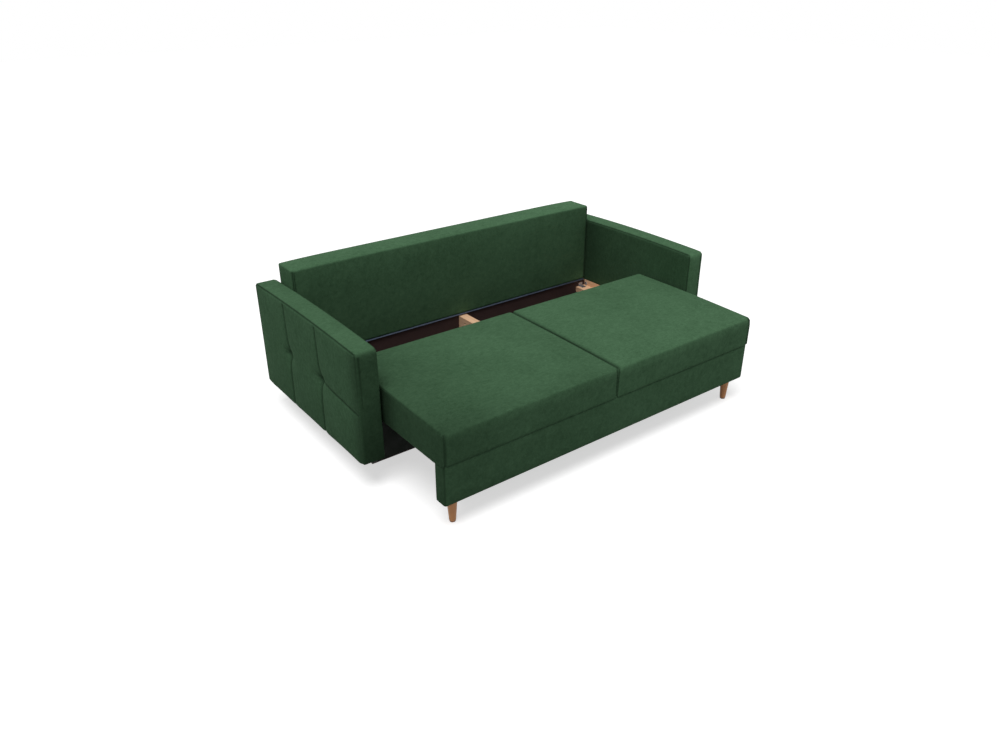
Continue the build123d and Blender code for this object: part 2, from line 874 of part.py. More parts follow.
def roller_axle():
    outer = roller_width / 2 + roller_cheek_gap + bracket_thickness
    end = outer + axle_head
    shaft = rod_x(roller_x - end, roller_x + end, roller_y, roller_z, roller_axle_radius)
    heads = [rod_x(roller_x + a, roller_x + b, roller_y, roller_z, axle_head_radius)
             for a, b in ((-end, -outer), (outer, end))]
    return shaft + heads


def write(name, shape):
    """Write one node; a list becomes a group of separate solids."""
    if isinstance(shape, list):
        shape = Compound(children=[solid for piece in shape for solid in piece.solids()])
    export_step(shape, f"parts/{name}.step")


def write_pair(name, right):
    """Write a right-hand piece and its mirrored twin."""
    if isinstance(right, list):
        left = [mirrored(piece) for piece in right]
    else:
        left = mirrored(right)
    write(f"{name}_right", right)
    write(f"{name}_left", left)


os.makedirs("parts", exist_ok=True)

# Base
write_pair("side_rail", side_rail())
write_pair("runner", runner())
write("runner_stops", [mirrored(runner_stop()), runner_stop()])
write("centre_rail", centre_rail())
write("front_rail", front_rail())
write("hinge_rail", hinge_rail())
write("box_rear_lining", rear_lining())
write("rear_rail", rear_rail())
write("base_rear_panel", rear_panel())
write("box_floor", box_floor())
write("base_feet", base_feet())
write("back_rest_pads", rest_pads())
write("corner_brackets", corner_brackets())
write("connector_bolts", connector_bolts())
write("barrel_nuts", barrel_nuts())
write_pair("arm_frame", arm_frame())
write_pair("arm_upholstery", arm_upholstery())
write_pair("arm_buttons", arm_buttons())
write("arm_dust_covers", [mirrored(arm_dust_cover()), arm_dust_cover()])
write("arm_bolts", arm_bolts())
write("hinge_leaf_base", hinge_leaf_base())
write("hinge_pin", hinge_pin())
write("hinge_screws_base", hinge_screws(hinge_rail_top + leaf_thickness, -1))

# Back
write("back_upholstery", back_upholstery())
write("back_foam", back_foam())
write("back_webbing", back_webbing())
write("back_bottom_rail", back_bottom_rail())
write("back_top_rail", back_top_rail())
write("back_stiles", back_stiles())
write("back_rear_panel", back_rear_panel())
write("hinge_leaf_back", hinge_leaf_back())
write("hinge_screws_back", hinge_screws(hinge_z + knuckle_radius - leaf_thickness, 1))

# Seat
write_pair("seat_cushion", seat_cushion())
write_pair("seat_foam", seat_foam())
write("seat_springs", seat_springs())
write("seat_front_rail", seat_front_rail())
write("seat_rear_rail", seat_rear_rail())
write("seat_side_rails", seat_side_rails())
write("seat_stretchers", seat_stretchers())
write("seat_dust_cover", seat_dust_cover())
write("front_panel_cover", front_panel_cover())
write("front_panel_core", front_panel_core())
write("panel_brackets", panel_brackets())
write_pair("front_leg", front_leg())
write("leg_plates", leg_plates())
write("leg_bolts", leg_bolts())
write("leg_glides", leg_glides())
write("roller_brackets", [mirrored(roller_bracket()), roller_bracket()])
write("roller_axles", [mirrored(roller_axle()), roller_axle()])
write_pair("roller", roller())

print(f"seat travel {seat_travel:.1f} mm, roller turn {1000 / roller_radius:.3f} rad per m")
print(f"hinge axis at y {hinge_y:.1f}, z {hinge_z:.1f}")
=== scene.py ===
"""Velvet covers, finishes and stage for a pull-out sofa bed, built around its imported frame, in metres."""

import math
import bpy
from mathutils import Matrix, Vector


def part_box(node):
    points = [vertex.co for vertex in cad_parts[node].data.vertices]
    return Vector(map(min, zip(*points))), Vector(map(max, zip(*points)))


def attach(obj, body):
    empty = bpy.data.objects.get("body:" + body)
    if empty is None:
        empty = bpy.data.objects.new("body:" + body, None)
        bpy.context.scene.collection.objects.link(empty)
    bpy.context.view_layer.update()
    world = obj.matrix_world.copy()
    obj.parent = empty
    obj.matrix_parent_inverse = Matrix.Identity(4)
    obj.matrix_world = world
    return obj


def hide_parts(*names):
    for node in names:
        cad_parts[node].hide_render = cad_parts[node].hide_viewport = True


bl_info = {
    "name": "Pull-out sofa bed",
    "version": (1, 0, 0),
    "blender": (4, 5, 0),
    "location": "View3D > Sidebar > Sofa bed",
    "description": "Builds the velvet covers, the finishes and the stage of a pull-out sofa bed",
    "category": "Object",
}

import bpy
import numpy as np
from mathutils import Matrix, Vector
from mathutils.bvhtree import BVHTree

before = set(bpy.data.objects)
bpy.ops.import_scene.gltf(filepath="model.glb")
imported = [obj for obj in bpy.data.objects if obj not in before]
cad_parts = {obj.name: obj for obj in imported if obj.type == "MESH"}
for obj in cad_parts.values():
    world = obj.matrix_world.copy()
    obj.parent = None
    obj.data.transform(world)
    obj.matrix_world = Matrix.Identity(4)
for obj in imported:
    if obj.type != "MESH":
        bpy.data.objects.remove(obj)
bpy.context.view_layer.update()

PINE_ALONG_X = ("hinge_rail", "rear_rail", "back_bottom_rail", "back_top_rail", "seat_front_rail",
                "seat_rear_rail", "front_panel_core")
PINE_ALONG_Y = ("runner_left", "runner_right", "runner_stops", "centre_rail", "seat_side_rails",
                "seat_stretchers")
CLOTH_EDGED = ("side_rail_left", "side_rail_right", "arm_frame_left", "arm_frame_right")
PINE_UPRIGHT = ("back_stiles",)
ZINC_STEEL = ("corner_brackets", "connector_bolts", "barrel_nuts", "arm_bolts", "hinge_screws_base",
              "hinge_screws_back", "panel_brackets", "leg_plates", "leg_bolts", "roller_brackets",
              "roller_axles")
HINGE_STEEL = ("hinge_leaf_base", "hinge_leaf_back", "hinge_pin")
FACES = {"left": (0, 0), "right": (0, 1), "front": (1, 0), "rear": (1, 1), "bottom": (2, 0), "top": (2, 1)}
SEAM_LIFT = 0.011
ARM_TOP = 0.667
ARM_ARCH = 0.010
GRIP = 0.008
EDGE_ROLL = 0.002
FACING = 0.1
RAY_START = 0.1
MERGE_DISTANCE = 0.00005
NOISE_SPAN = (0.3, 0.7)
LEAST_SWELL = 1e-6
LEAST_MOVE = 1e-9
# Painted shade in the seams' grooves: how much of it at most, and its colour
SEAM_SHADE = 0.62
PAINTED_SHADE_COLOUR = (0.008, 0.018, 0.01, 1)
# How dark each use of the velvet is painted: the folds in the seams and the buttons take darker copies as
# painted shade
VELVET_PAINTED_SHADES = {"cover": 1.0, "seam": 0.5, "button": 0.28}
# How much light and shade is painted on each cover's sides, for -X, +X, -Y, +Y, -Z and +Z, in place of how
# the light falls on the pile
PAINTED_SIDE_LIGHT = {"arm left": (-0.05, -0.05, -0.3, 0, 0, 0), "arm right": (-0.2, -0.06, 0.45, 0, 0, 0.12),
        "back": (0, -0.6, 0.06, 0, 0, 0.1), "seat left": (-0.42, 0, -0.05, 0, 0, 0.02),
        "seat right": (0, -0.2, 0.14, 0, 0, 0.1), "panel": (-0.42, -0.25, -0.01, 0, 0, 0)}


def length_of(name, description, default, least=0.0):
    return bpy.props.FloatProperty(name=name, description=description, default=default, min=least,
                                   unit="LENGTH")


def colour_of(name, description, default):
    return bpy.props.FloatVectorProperty(name=name, description=description, default=default, subtype="COLOR")


class SofaSizes(bpy.types.PropertyGroup):
    """Sizes of the covers that a user would change."""

    cloth_grid: length_of("Cloth grid", "The cloth's squares before they are divided once", 0.009, 0.004)
    pressure: bpy.props.FloatProperty(
        name="Stuffing pressure", description="Pressure that swells the covers", default=4.0, min=0.0)
    seat_roll: length_of("Seat edge roll", "Radius of the seat cushions' edges", 0.018)
    seat_crown: length_of("Seat crown", "Rise of the seat cushions' tops", 0.018)
    seat_rise: length_of("Seat rise", "Rise of the seat cushions from front to rear", 0.014)
    back_roll: length_of("Back edge roll", "Radius of the back's edges", 0.006)
    back_crown: length_of("Back crown", "Rise of the back's front", 0.009)
    arm_roll: length_of("Arm end roll", "Radius of the arms' top edges at the front and rear", 0.019)
    arm_fullness: length_of("Arm fullness", "Rise of the bays on the arms' outer panels", 0.011)
    panel_roll: length_of("Panel edge roll", "Radius of the front panel's edges", 0.003)
    seam_depth: length_of("Seam depth", "How far a seam is drawn in", 0.004)
    seam_width: length_of("Seam width", "How far a seam's groove reaches to each side", 0.006)
    seam_cord: length_of("Seam fold", "Radius of the sewn fold that lies in a seam", 0.0013)
    tuft_depth: length_of("Tuft depth", "How far a button draws the panel in", 0.023)
    tuft_reach: length_of("Tuft reach", "Radius over which a button draws the panel in", 0.03)


class SofaColours(bpy.types.PropertyGroup):
    """Colours of the finishes that a user would change."""

    velvet_deep: colour_of("Velvet, deep", "Velvet with its pile brushed dark", (0.036, 0.084, 0.041))
    velvet_pale: colour_of("Velvet, pale", "Velvet with its pile brushed light", (0.083, 0.173, 0.092))
    pine_pale: colour_of("Pine, pale", "Early wood of the pine", (0.92, 0.62, 0.4))
    pine_dark: colour_of("Pine, dark", "Late wood of the pine", (0.74, 0.44, 0.26))
    stain_pale: colour_of("Stain, pale", "Lighter grain of the legs", (0.80, 0.365, 0.134))
    stain_dark: colour_of("Stain, dark", "Darker grain of the legs", (0.56, 0.23, 0.08))
    lining: colour_of("Box lining", "Hardboard inside the bedding box", (0.046, 0.026, 0.024))
    black_cloth: colour_of("Black cloth", "Non-woven cloth under the base", (0.007, 0.009, 0.007))
    zinc: colour_of("Zinc", "Plated steel of the fittings", (0.56, 0.59, 0.64))
    hinge_steel: colour_of("Hinge steel", "Blued steel of the long hinge", (0.10, 0.13, 0.19))


def sizes():
    return bpy.context.scene.sofa_sizes


def colours():
    return bpy.context.scene.sofa_colours


# Modelling

def only(piece=None):
    """Object mode, with nothing selected but the piece."""
    active = bpy.context.view_layer.objects.active
    if active is not None and active.mode != "OBJECT":
        bpy.ops.object.mode_set(mode="OBJECT")
    bpy.ops.object.select_all(action="DESELECT")
    if piece is not None:
        piece.select_set(True)
        bpy.context.view_layer.objects.active = piece


def block(name, low, high):
    """A box between two corners, with its place in its mesh."""
    only()
    centre = [(a + b) / 2 for a, b in zip(low, high)]
    bpy.ops.mesh.primitive_cube_add(size=1, location=centre)
    piece = bpy.context.object
    piece.name = name
    piece.data.name = name
    piece.scale = [b - a for a, b in zip(low, high)]
    bpy.ops.object.transform_apply(location=True, rotation=True, scale=True)
    return piece


def apply_modifier(piece, name):
    only(piece)
    bpy.ops.object.modifier_apply(modifier=name)


def roll_edges(piece, rolls, steps=5):
    """Round a box's edges. rolls gives a radius for an edge by its two faces, and one for the others."""
    mesh = piece.data
    corners = Vector(piece.bound_box[0]), Vector(piece.bound_box[6])
    widest = max(rolls.values())
    weights = mesh.attributes.new("bevel_weight_edge", "FLOAT", "EDGE")
    for edge in mesh.edges:
        first, second = (mesh.vertices[index].co for index in edge.vertices)
        middle = (first + second) / 2
        touched = {name for name, (axis, end) in FACES.items()
                   if abs(middle[axis] - corners[end][axis]) < MERGE_DISTANCE}
        radius = rolls["others"]
        for faces, given in rolls.items():
            if set(faces.split()) == touched:
                radius = given
        weights.data[edge.index].value = radius / widest
    bevel = piece.modifiers.new("roll", "BEVEL")
    bevel.limit_method = "WEIGHT"
    bevel.width = widest
    bevel.segments = steps
    apply_modifier(piece, bevel.name)


def divide_once(piece):
    step = piece.modifiers.new("divide", "SUBSURF")
    step.levels = 1
    step.render_levels = 1
    apply_modifier(piece, step.name)


def vertex_values(mesh, key):
    flat = np.empty(len(mesh.vertices) * 3)
    mesh.vertices.foreach_get(key, flat)
    return flat.reshape(-1, 3)


def points_of(mesh):
    return vertex_values(mesh, "co")


def normals_of(mesh):
    return vertex_values(mesh, "normal")


def move_points(mesh, points):
    mesh.vertices.foreach_set("co", points.ravel())
    mesh.update()


def smooth(piece):
    only(piece)
    bpy.ops.object.shade_smooth()


def face_outwards():
    """Turn all faces of the active piece outwards."""
    bpy.ops.object.mode_set(mode="EDIT")
    bpy.ops.mesh.select_all(action="SELECT")
    bpy.ops.mesh.normals_make_consistent(inside=False)
    bpy.ops.object.mode_set(mode="OBJECT")


def mirror_twin(piece, name):
    """The right-hand twin of a left-hand piece, with its own mesh."""
    only(piece)
    bpy.ops.object.duplicate(linked=False)
    twin = bpy.context.object
    twin.name = name
    twin.data.name = name
    twin.scale.x = -1
    bpy.ops.object.transform_apply(location=True, rotation=True, scale=True)
    face_outwards()
    return twin


def turned(name, profile, steps):
    """A piece turned about Z from (radius, height) points that start and end on the axis."""
    mesh = bpy.data.meshes.new(name)
    edges = [(index, index + 1) for index in range(len(profile) - 1)]
    mesh.from_pydata([(radius, 0, height) for radius, height in profile], edges, [])
    piece = bpy.data.objects.new(name, mesh)
    bpy.context.scene.collection.objects.link(piece)
    only(piece)
    bpy.ops.object.mode_set(mode="EDIT")
    bpy.ops.mesh.select_all(action="SELECT")
    bpy.ops.mesh.spin(steps=steps, angle=2 * math.pi, center=(0, 0, 0), axis=(0, 0, 1))
    bpy.ops.mesh.select_all(action="SELECT")
    bpy.ops.mesh.remove_doubles(threshold=MERGE_DISTANCE)
    face_outwards()
    return piece


def near_edges(points, low, high, reach):
    """Which points lie within reach of an edge of the box."""
    close = np.minimum(np.abs(points - np.array(low)), np.abs(points - np.array(high))) < reach
    return close.sum(axis=1) >= 2


def face_share(normals, amounts):
    """An amount for each point from the way it faces; amounts are for -X, +X, -Y, +Y, -Z and +Z."""
    total = np.zeros(len(normals))
    for axis in range(3):
        total += np.clip(-normals[:, axis], 0, 1) ** 2 * amounts[2 * axis]
        total += np.clip(normals[:, axis], 0, 1) ** 2 * amounts[2 * axis + 1]
    return total


def swell(piece, held, most):
    """Swell a closed cover with cloth pressure; held points stay, and no point moves further than most."""
    frames = 20
    mesh = piece.data
    start = points_of(mesh)
    sewn = piece.vertex_groups.new(name="sewn")
    sewn.add([int(index) for index in np.flatnonzero(held)], 1.0, "REPLACE")
    cloth = piece.modifiers.new("swell", "CLOTH")
    given = {"quality": 4, "mass": 0.3, "tension_stiffness": 15, "compression_stiffness": 15,
             "shear_stiffness": 8, "bending_stiffness": 2, "vertex_group_mass": sewn.name,
             "use_pressure": True, "uniform_pressure_force": sizes().pressure}
    for key, value in given.items():
        setattr(cloth.settings, key, value)
    cloth.settings.effector_weights.gravity = 0
    cloth.collision_settings.use_collision = False
    cloth.point_cache.frame_start = 1
    cloth.point_cache.frame_end = frames
    scene = bpy.context.scene
    for number in range(1, frames + 1):
        scene.frame_set(number)
    apply_modifier(piece, cloth.name)
    scene.frame_set(1)
    moved = points_of(mesh) - start
    length = np.linalg.norm(moved, axis=1)
    eased = most * np.tanh(length / np.maximum(most, LEAST_SWELL))
    share = np.where(length > LEAST_MOVE, eased / np.maximum(length, LEAST_MOVE), 0)
    move_points(mesh, start + moved * share[:, None])
    piece.vertex_groups.clear()


def cover(name, low, high, rolls, held_reach, most):
    """A cover from a rolled box, its sewn points and how far each may swell; most is as in face_share."""
    piece = block(name, low, high)
    roll_edges(piece, rolls)
    only(piece)
    piece.data.remesh_voxel_size = sizes().cloth_grid
    bpy.ops.object.voxel_remesh()
    points = points_of(piece.data)
    return piece, near_edges(points, low, high, held_reach), face_share(normals_of(piece.data), most)


def lift_top(piece, bottom, top, rise):
    """Stretch a cover upwards: its top rises by rise(points), and what is lower by less."""
    points = points_of(piece.data)
    share = np.clip((points[:, 2] - bottom) / (top - bottom), 0, 1)
    points[:, 2] += share * rise(points)
    move_points(piece.data, points)


def distance_to(points, line):
    """Distance of each point to a line of straight runs, and how far along the line the nearest place is."""
    best = np.full(len(points), np.inf)
    along = np.zeros(len(points))
    line = [np.array(place, float) for place in line]
    total = sum(np.linalg.norm(b - a) for a, b in zip(line, line[1:]))
    done = 0.0
    for a, b in zip(line, line[1:]):
        run = b - a
        length = np.linalg.norm(run)
        share = np.clip((points - a) @ run / length ** 2, 0, 1)
        away = np.linalg.norm(points - (a + share[:, None] * run), axis=1)
        nearer = away < best
        best[nearer] = away[nearer]
        along[nearer] = (done + share[nearer] * length) / total
        done += length
    return best, along


def across(points, facing):
    """Points with their place along the facing axis left out."""
    flat = np.array(points, float)
    flat[:, int(np.argmax(np.abs(facing)))] = 0
    return flat


def value_layer(mesh, name):
    return mesh.attributes.get(name) or mesh.attributes.new(name, "FLOAT", "POINT")


def surface_of(piece):
    mesh = piece.data
    return BVHTree.FromPolygons([v.co for v in mesh.vertices], [p.vertices for p in mesh.polygons])


class Seam:
    """A line drawn into a cover. facing is the side that it lies on, or None along an edge."""

    def __init__(self, line, facing=None, depth=1.0, width=1.0, fades=False, cord=1.0):
        self.line = line
        self.facing = facing
        self.depth = depth
        self.width = width
        self.fades = fades
        self.cord = cord


def draw_seams(piece, seams):
    """Draw seams into a cover, and keep how deep in a seam each point lies as an attribute, which the velvet
    turns into painted shade in the seams' grooves.
    """
    mesh = piece.data
    points = points_of(mesh)
    normals = normals_of(mesh)
    drawn = np.zeros(len(points))
    shade = np.zeros(len(points))
    for seam in seams:
        line = np.array([tuple(place) for place in seam.line], float)
        near = points
        allowed = np.ones(len(points))
        if seam.facing is not None:
            near = across(points, seam.facing)
            line = across(line, seam.facing)
            allowed = (normals @ np.array(seam.facing) > FACING).astype(float)
        away, along = distance_to(near, line)
        strength = np.exp(-(away / (sizes().seam_width * seam.width)) ** 2) * allowed
        if seam.fades:
            strength = strength * (1 - along)
        drawn = np.maximum(drawn, strength * sizes().seam_depth * seam.depth)
        shade = np.maximum(shade, strength * min(1.0, seam.depth))
    move_points(mesh, points - normals * drawn[:, None])
    # This attribute is painted shade: the velvet darkens where it is high
    layer = value_layer(mesh, "seam")
    earlier = np.zeros(len(points), np.float32)
    layer.data.foreach_get("value", earlier)
    layer.data.foreach_set("value", np.maximum(earlier, shade).astype(np.float32))


def paint_side_light(piece, amounts, *fades):
    """Paint light and shade on each side of a cover, kept as an attribute; amounts are as in face_share.

    A fade is (side, axis, place, reach, amount): on that side, the painted light and shade changes around a
    place on the axis.
    """
    mesh = piece.data
    points = points_of(mesh)
    normals = normals_of(mesh)
    painted_light = face_share(normals, amounts)
    for side, axis, place, reach, amount in fades:
        side_axis, end = FACES[side]
        facing = [0] * 6
        facing[2 * side_axis + end] = amount
        away = points[:, "xyz".index(axis)] - place
        painted_light += face_share(normals, facing) * np.exp(-(away / reach) ** 2)
    value_layer(mesh, "painted_light").data.foreach_set("value", painted_light.astype(np.float32))


def draw_tufts(piece, places, facing):
    """Draw a panel in at its buttons."""
    mesh = piece.data
    points = points_of(mesh)
    normals = normals_of(mesh)
    allowed = normals @ np.array(facing) > FACING
    for place in places:
        away = np.linalg.norm(across(points - np.array(place), facing), axis=1)
        pull = sizes().tuft_depth * np.exp(-away / sizes().tuft_reach) * allowed
        points -= np.array(facing) * pull[:, None]
    move_points(mesh, points)


def seam_folds(name, piece, seams, spacing=0.009):
    """The sewn folds that lie in a cover's seams, as one piece of thin round strips."""
    tree = surface_of(piece)
    curve = bpy.data.curves.new(name, "CURVE")
    curve.dimensions = "3D"
    curve.bevel_depth = sizes().seam_cord
    curve.bevel_resolution = 1
    curve.use_fill_caps = True
    for seam in seams:
        if not seam.cord:
            continue
        laid = []
        for a, b in zip(seam.line, seam.line[1:]):
            run = Vector(b) - Vector(a)
            count = max(1, round(run.length / spacing))
            laid += [Vector(a) + run * index / count for index in range(count)]
        laid.append(Vector(seam.line[-1]))
        found = []
        for place in laid:
            if seam.facing is None:
                hit = tree.find_nearest(place)[0]
            else:
                out = Vector(seam.facing)
                hit = tree.ray_cast(place + out * RAY_START, -out)[0]
            if hit is not None:
                found.append(hit)
        spline = curve.splines.new("NURBS")
        spline.points.add(len(found) - 1)
        for target, hit in zip(spline.points, found):
            target.co = (*hit, 1)
            target.radius = seam.cord
        spline.order_u = 4
        spline.use_endpoint_u = True
        spline.resolution_u = 2
    strips = bpy.data.objects.new(name, curve)
    bpy.context.scene.collection.objects.link(strips)
    only(strips)
    bpy.ops.object.convert(target="MESH")
    strips = bpy.context.object
    smooth(strips)
    return strips


def dress(piece, material, body, slot, *nodes):
    """Give a finished piece its material and body, and hide the nodes that it stands for; the slot is not
    used.
    """
    piece.data.materials.clear()
    piece.data.materials.append(material)
    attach(piece, body)
    if nodes:
        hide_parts(*nodes)


def sew(piece, name, seams):
    """Draw seams into a cover, and lay the sewn folds in them."""
    draw_seams(piece, seams)
    smooth(piece)
    return seam_folds(name, piece, seams)


def dress_cover(piece, folds, body, node):
    """Give a cover its velvet and the folds in its seams a darker copy with painted shade; the cover stands
    for the node.
    """
    dress(piece, velvet(), body, "velvet", node)
    dress(folds, velvet("seam"), body, "velvet")


# Materials

def plug(tree, value, socket):
    """Lead a value to a socket: a link from another socket, or a plain value."""
    if isinstance(value, bpy.types.NodeSocket):
        tree.links.new(value, socket)
    else:
        socket.default_value = value


def add_node(tree, kind, settings=None, **inputs):
    """A node with its settings, and its inputs by name with spaces as underscores."""
    made = tree.nodes.new(kind)
    for key, value in (settings or {}).items():
        setattr(made, key, value)
    for key, value in inputs.items():
        plug(tree, value, made.inputs[key.replace("_", " ")])
    return made


def sum_of(tree, *terms):
    """A value made of (socket, weight) terms."""
    total = 0
    for term in terms:
        step = add_node(tree, "ShaderNodeMath", {"operation": "MULTIPLY_ADD"})
        for value, socket in zip((*term, total), step.inputs):
            plug(tree, value, socket)
        total = step.outputs[0]
    return total


def scale_range(tree, value, low, high, new_low, new_high):
    """A value moved from one range to another, and kept in it."""
    step = add_node(tree, "ShaderNodeMapRange", {"clamp": True}, Value=value, From_Min=low, From_Max=high,
                    To_Min=new_low, To_Max=new_high)
    return step.outputs["Result"]


def blend_colours(tree, share, first, second):
    """Two colours, or their sockets, blended by a share."""
    step = add_node(tree, "ShaderNodeMix", {"data_type": "RGBA"})
    for value, index in ((share, 0), (first, 6), (second, 7)):
        plug(tree, value, step.inputs[index])
    return step.outputs[2]


class Effect:
    """A shader group in the making: it takes a Vector, two tones and values, and gives three results."""

    def __init__(self, name, tones, values=()):
        self.tree = bpy.data.node_groups.new(name, "ShaderNodeTree")
        kinds = [("INPUT", "Vector", "NodeSocketVector")]
        kinds += [("INPUT", tone, "NodeSocketColor") for tone in tones]
        kinds += [("INPUT", value, "NodeSocketFloat") for value in values]
        kinds += [("OUTPUT", "Color", "NodeSocketColor"), ("OUTPUT", "Roughness", "NodeSocketFloat"),
                  ("OUTPUT", "Height", "NodeSocketFloat")]
        for way, socket, kind in kinds:
            self.tree.interface.new_socket(socket, in_out=way, socket_type=kind)
        self.given = self.tree.nodes.new("NodeGroupInput").outputs
        self.tones = [self.given[tone] for tone in tones]

    def noise(self, scale, detail=2.0, roughness=0.5, distortion=0.0):
        """Noise of one scale, or of one for each axis."""
        place = self.given["Vector"]
        if isinstance(scale, tuple):
            place = add_node(self.tree, "ShaderNodeMapping", Vector=place, Scale=scale).outputs["Vector"]
            scale = 1.0
        made = add_node(self.tree, "ShaderNodeTexNoise", Vector=place, Scale=scale, Detail=detail,
                        Roughness=roughness, Distortion=distortion)
        return made.outputs["Fac"]

    def cells(self, scale):
        made = add_node(self.tree, "ShaderNodeTexVoronoi", Vector=self.given["Vector"], Scale=scale)
        return made.outputs["Distance"]

    def mix(self, *terms):
        return sum_of(self.tree, *terms)

    def span(self, value, *ends):
        return scale_range(self.tree, value, *ends)

    def toned(self, value, low, high, most=1):
        """The two tones blended by a value between low and high."""
        return blend_colours(self.tree, self.span(value, low, high, 0, most), *self.tones)

    def close(self, colour, noise, first, last, height):
        """Lead the results to the group's output; the roughness goes from first to last with a noise."""
        out = self.tree.nodes.new("NodeGroupOutput").inputs
        roughness = self.span(noise, *NOISE_SPAN, first, last)
        results = {"Color": colour, "Roughness": roughness, "Height": height}
        for socket, value in results.items():
            self.tree.links.new(value, out[socket])
        return self.tree


def velvet_group():
    """Short pile brushed both ways: soft clouds, finger-wide flecks and the pile's own grain, with painted
    shade in the seams and painted light and shade on each side.
    """
    made = Effect("velvet pile", ("Deep", "Pale"), ("Seam", "Painted Light"))
    clouds = made.noise(5.0, 3.0, 0.5, 0.4)
    flecks = made.noise(46.0, 5.0, 0.7, 1.2)
    strokes = made.noise((38, 90, 38), 4.0, 0.6, 0.8)
    grain = made.noise(520.0, 2.0, 0.6)
    colour = made.toned(made.mix((clouds, 0.17), (flecks, 0.31), (strokes, 0.26), (grain, 0.26)), 0.34, 0.66)
    # Painted light and shade on each side of a cover: the Painted Light value lifts or lowers the colour's
    # brightness
    lie = made.span(made.given["Painted Light"], -1, 1, 0, 2)
    brushed = add_node(made.tree, "ShaderNodeHueSaturation", Color=colour, Value=lie).outputs["Color"]
    # Painted shade in the seams' grooves, from the seam attribute
    shade = made.span(made.given["Seam"], 0, 1, 0, SEAM_SHADE)
    shaded = blend_colours(made.tree, shade, brushed, PAINTED_SHADE_COLOUR)
    return made.close(shaded, flecks, 0.95, 0.78, made.mix((grain, 0.6), (flecks, 0.4)))


def wood_group():
    """Straight grain along the vector's X: growth bands, fine fibres and a few darker streaks."""
    made = Effect("wood grain", ("Pale", "Dark"))
    bands = made.noise((1.1, 34, 34), 3.0, 0.55, 0.7)
    fibres = made.noise((9, 420, 420), 3.0, 0.6)
    streaks = made.noise((2.2, 90, 90), 2.0, 0.5, 0.3)
    colour = made.toned(made.mix((bands, 0.55), (streaks, 0.27), (fibres, 0.18)), 0.36, 0.64)
    return made.close(colour, fibres, 0.5, 0.66, made.mix((fibres, 0.7), (bands, 0.3)))


def felt_group():
    """Pressed fibres: random threads with small bond points, or the mottle of hardboard."""
    made = Effect("pressed fibres", ("Tone", "Fleck"))
    threads = made.noise(260.0, 5.0, 0.75, 2.0)
    mottle = made.noise(18.0, 3.0, 0.6)
    points = made.span(made.cells(520.0), 0.1, 0.4, 1, 0)
    colour = made.toned(made.mix((threads, 0.6), (mottle, 0.4)), 0.38, 0.64)
    return made.close(colour, mottle, 0.72, 0.92, made.mix((threads, 0.7), (points, -0.3)))


def metal_group():
    """Plated metal: faint spangle, rolling lines and handling marks."""
    made = Effect("plated metal", ("Tone", "Dull"))
    spangle = made.cells(140.0)
    lines = made.noise((30, 900, 900), 2.0, 0.6)
    marks = made.noise(36.0, 4.0, 0.65)
    colour = made.toned(made.mix((spangle, 0.25), (lines, 0.3), (marks, 0.45)), 0.3, 0.62)
    return made.close(colour, marks, 0.36, 0.56, lines)


def moulded_group():
    """Moulded plastic or rubber: fine spark texture, scuffs and a little dust."""
    made = Effect("moulded skin", ("Tone", "Dust"))
    spark = made.noise(1400.0, 2.0, 0.6)
    scuffs = made.noise(60.0, 5.0, 0.7, 0.6)
    return made.close(made.toned(scuffs, 0.5, 0.8, 0.5), scuffs, 0.42, 0.62, spark)


def foam_group():
    """Open-cell foam or woven webbing seen from a step away: cells, and a slow yellowing."""
    made = Effect("open cells", ("Tone", "Shade"))
    cells = made.cells(420.0)
    slow = made.noise(9.0, 3.0, 0.5)
    return made.close(made.toned(made.mix((cells, 0.6), (slow, 0.4)), 0.3, 0.75), slow, 0.85, 0.95, cells)


EFFECTS = {"velvet": velvet_group, "wood": wood_group, "felt": felt_group, "metal": metal_group,
           "moulded": moulded_group, "foam": foam_group}


def effect(name):
    """The shader group of that effect, built once."""
    made = bpy.data.node_groups.get("effect " + name)
    if made is None:
        made = EFFECTS[name]()
        made.name = "effect " + name
    return made


def finish(name, effect_name, tones, bump, bump_depth, turn=(0, 0, 0), shader=None, reads_painted_light=False):
    """A material: an effect on Object coordinates, its two tones, its bump and plain shader values."""
    made = bpy.data.materials.get(name)
    if made is not None:
        return made
    made = bpy.data.materials.new(name)
    made.use_nodes = True
    tree = made.node_tree
    principled = tree.nodes["Principled BSDF"]
    place = tree.nodes.new("ShaderNodeTexCoord")
    turned_place = add_node(tree, "ShaderNodeMapping", Vector=place.outputs["Object"], Rotation=turn)
    group = add_node(tree, "ShaderNodeGroup", {"node_tree": effect(effect_name)},
                     Vector=turned_place.outputs["Vector"])
    for socket, tone in tones.items():
        group.inputs[socket].default_value = (*tone, 1)
    # The attributes carry painted shade in the seams and painted light and shade on each side
    if reads_painted_light:
        for layer, socket in (("seam", "Seam"), ("painted_light", "Painted Light")):
            read = add_node(tree, "ShaderNodeAttribute", {"attribute_name": layer})
            tree.links.new(read.outputs["Fac"], group.inputs[socket])
    height = add_node(tree, "ShaderNodeBump", Strength=bump, Distance=bump_depth,
                      Height=group.outputs["Height"])
    results = {"Base Color": group.outputs["Color"], "Roughness": group.outputs["Roughness"],
               "Normal": height.outputs["Normal"]}
    for socket, value in (results | (shader or {})).items():
        plug(tree, value, principled.inputs[socket])
    return made


def scaled(colour, share):
    return [value * share for value in colour]


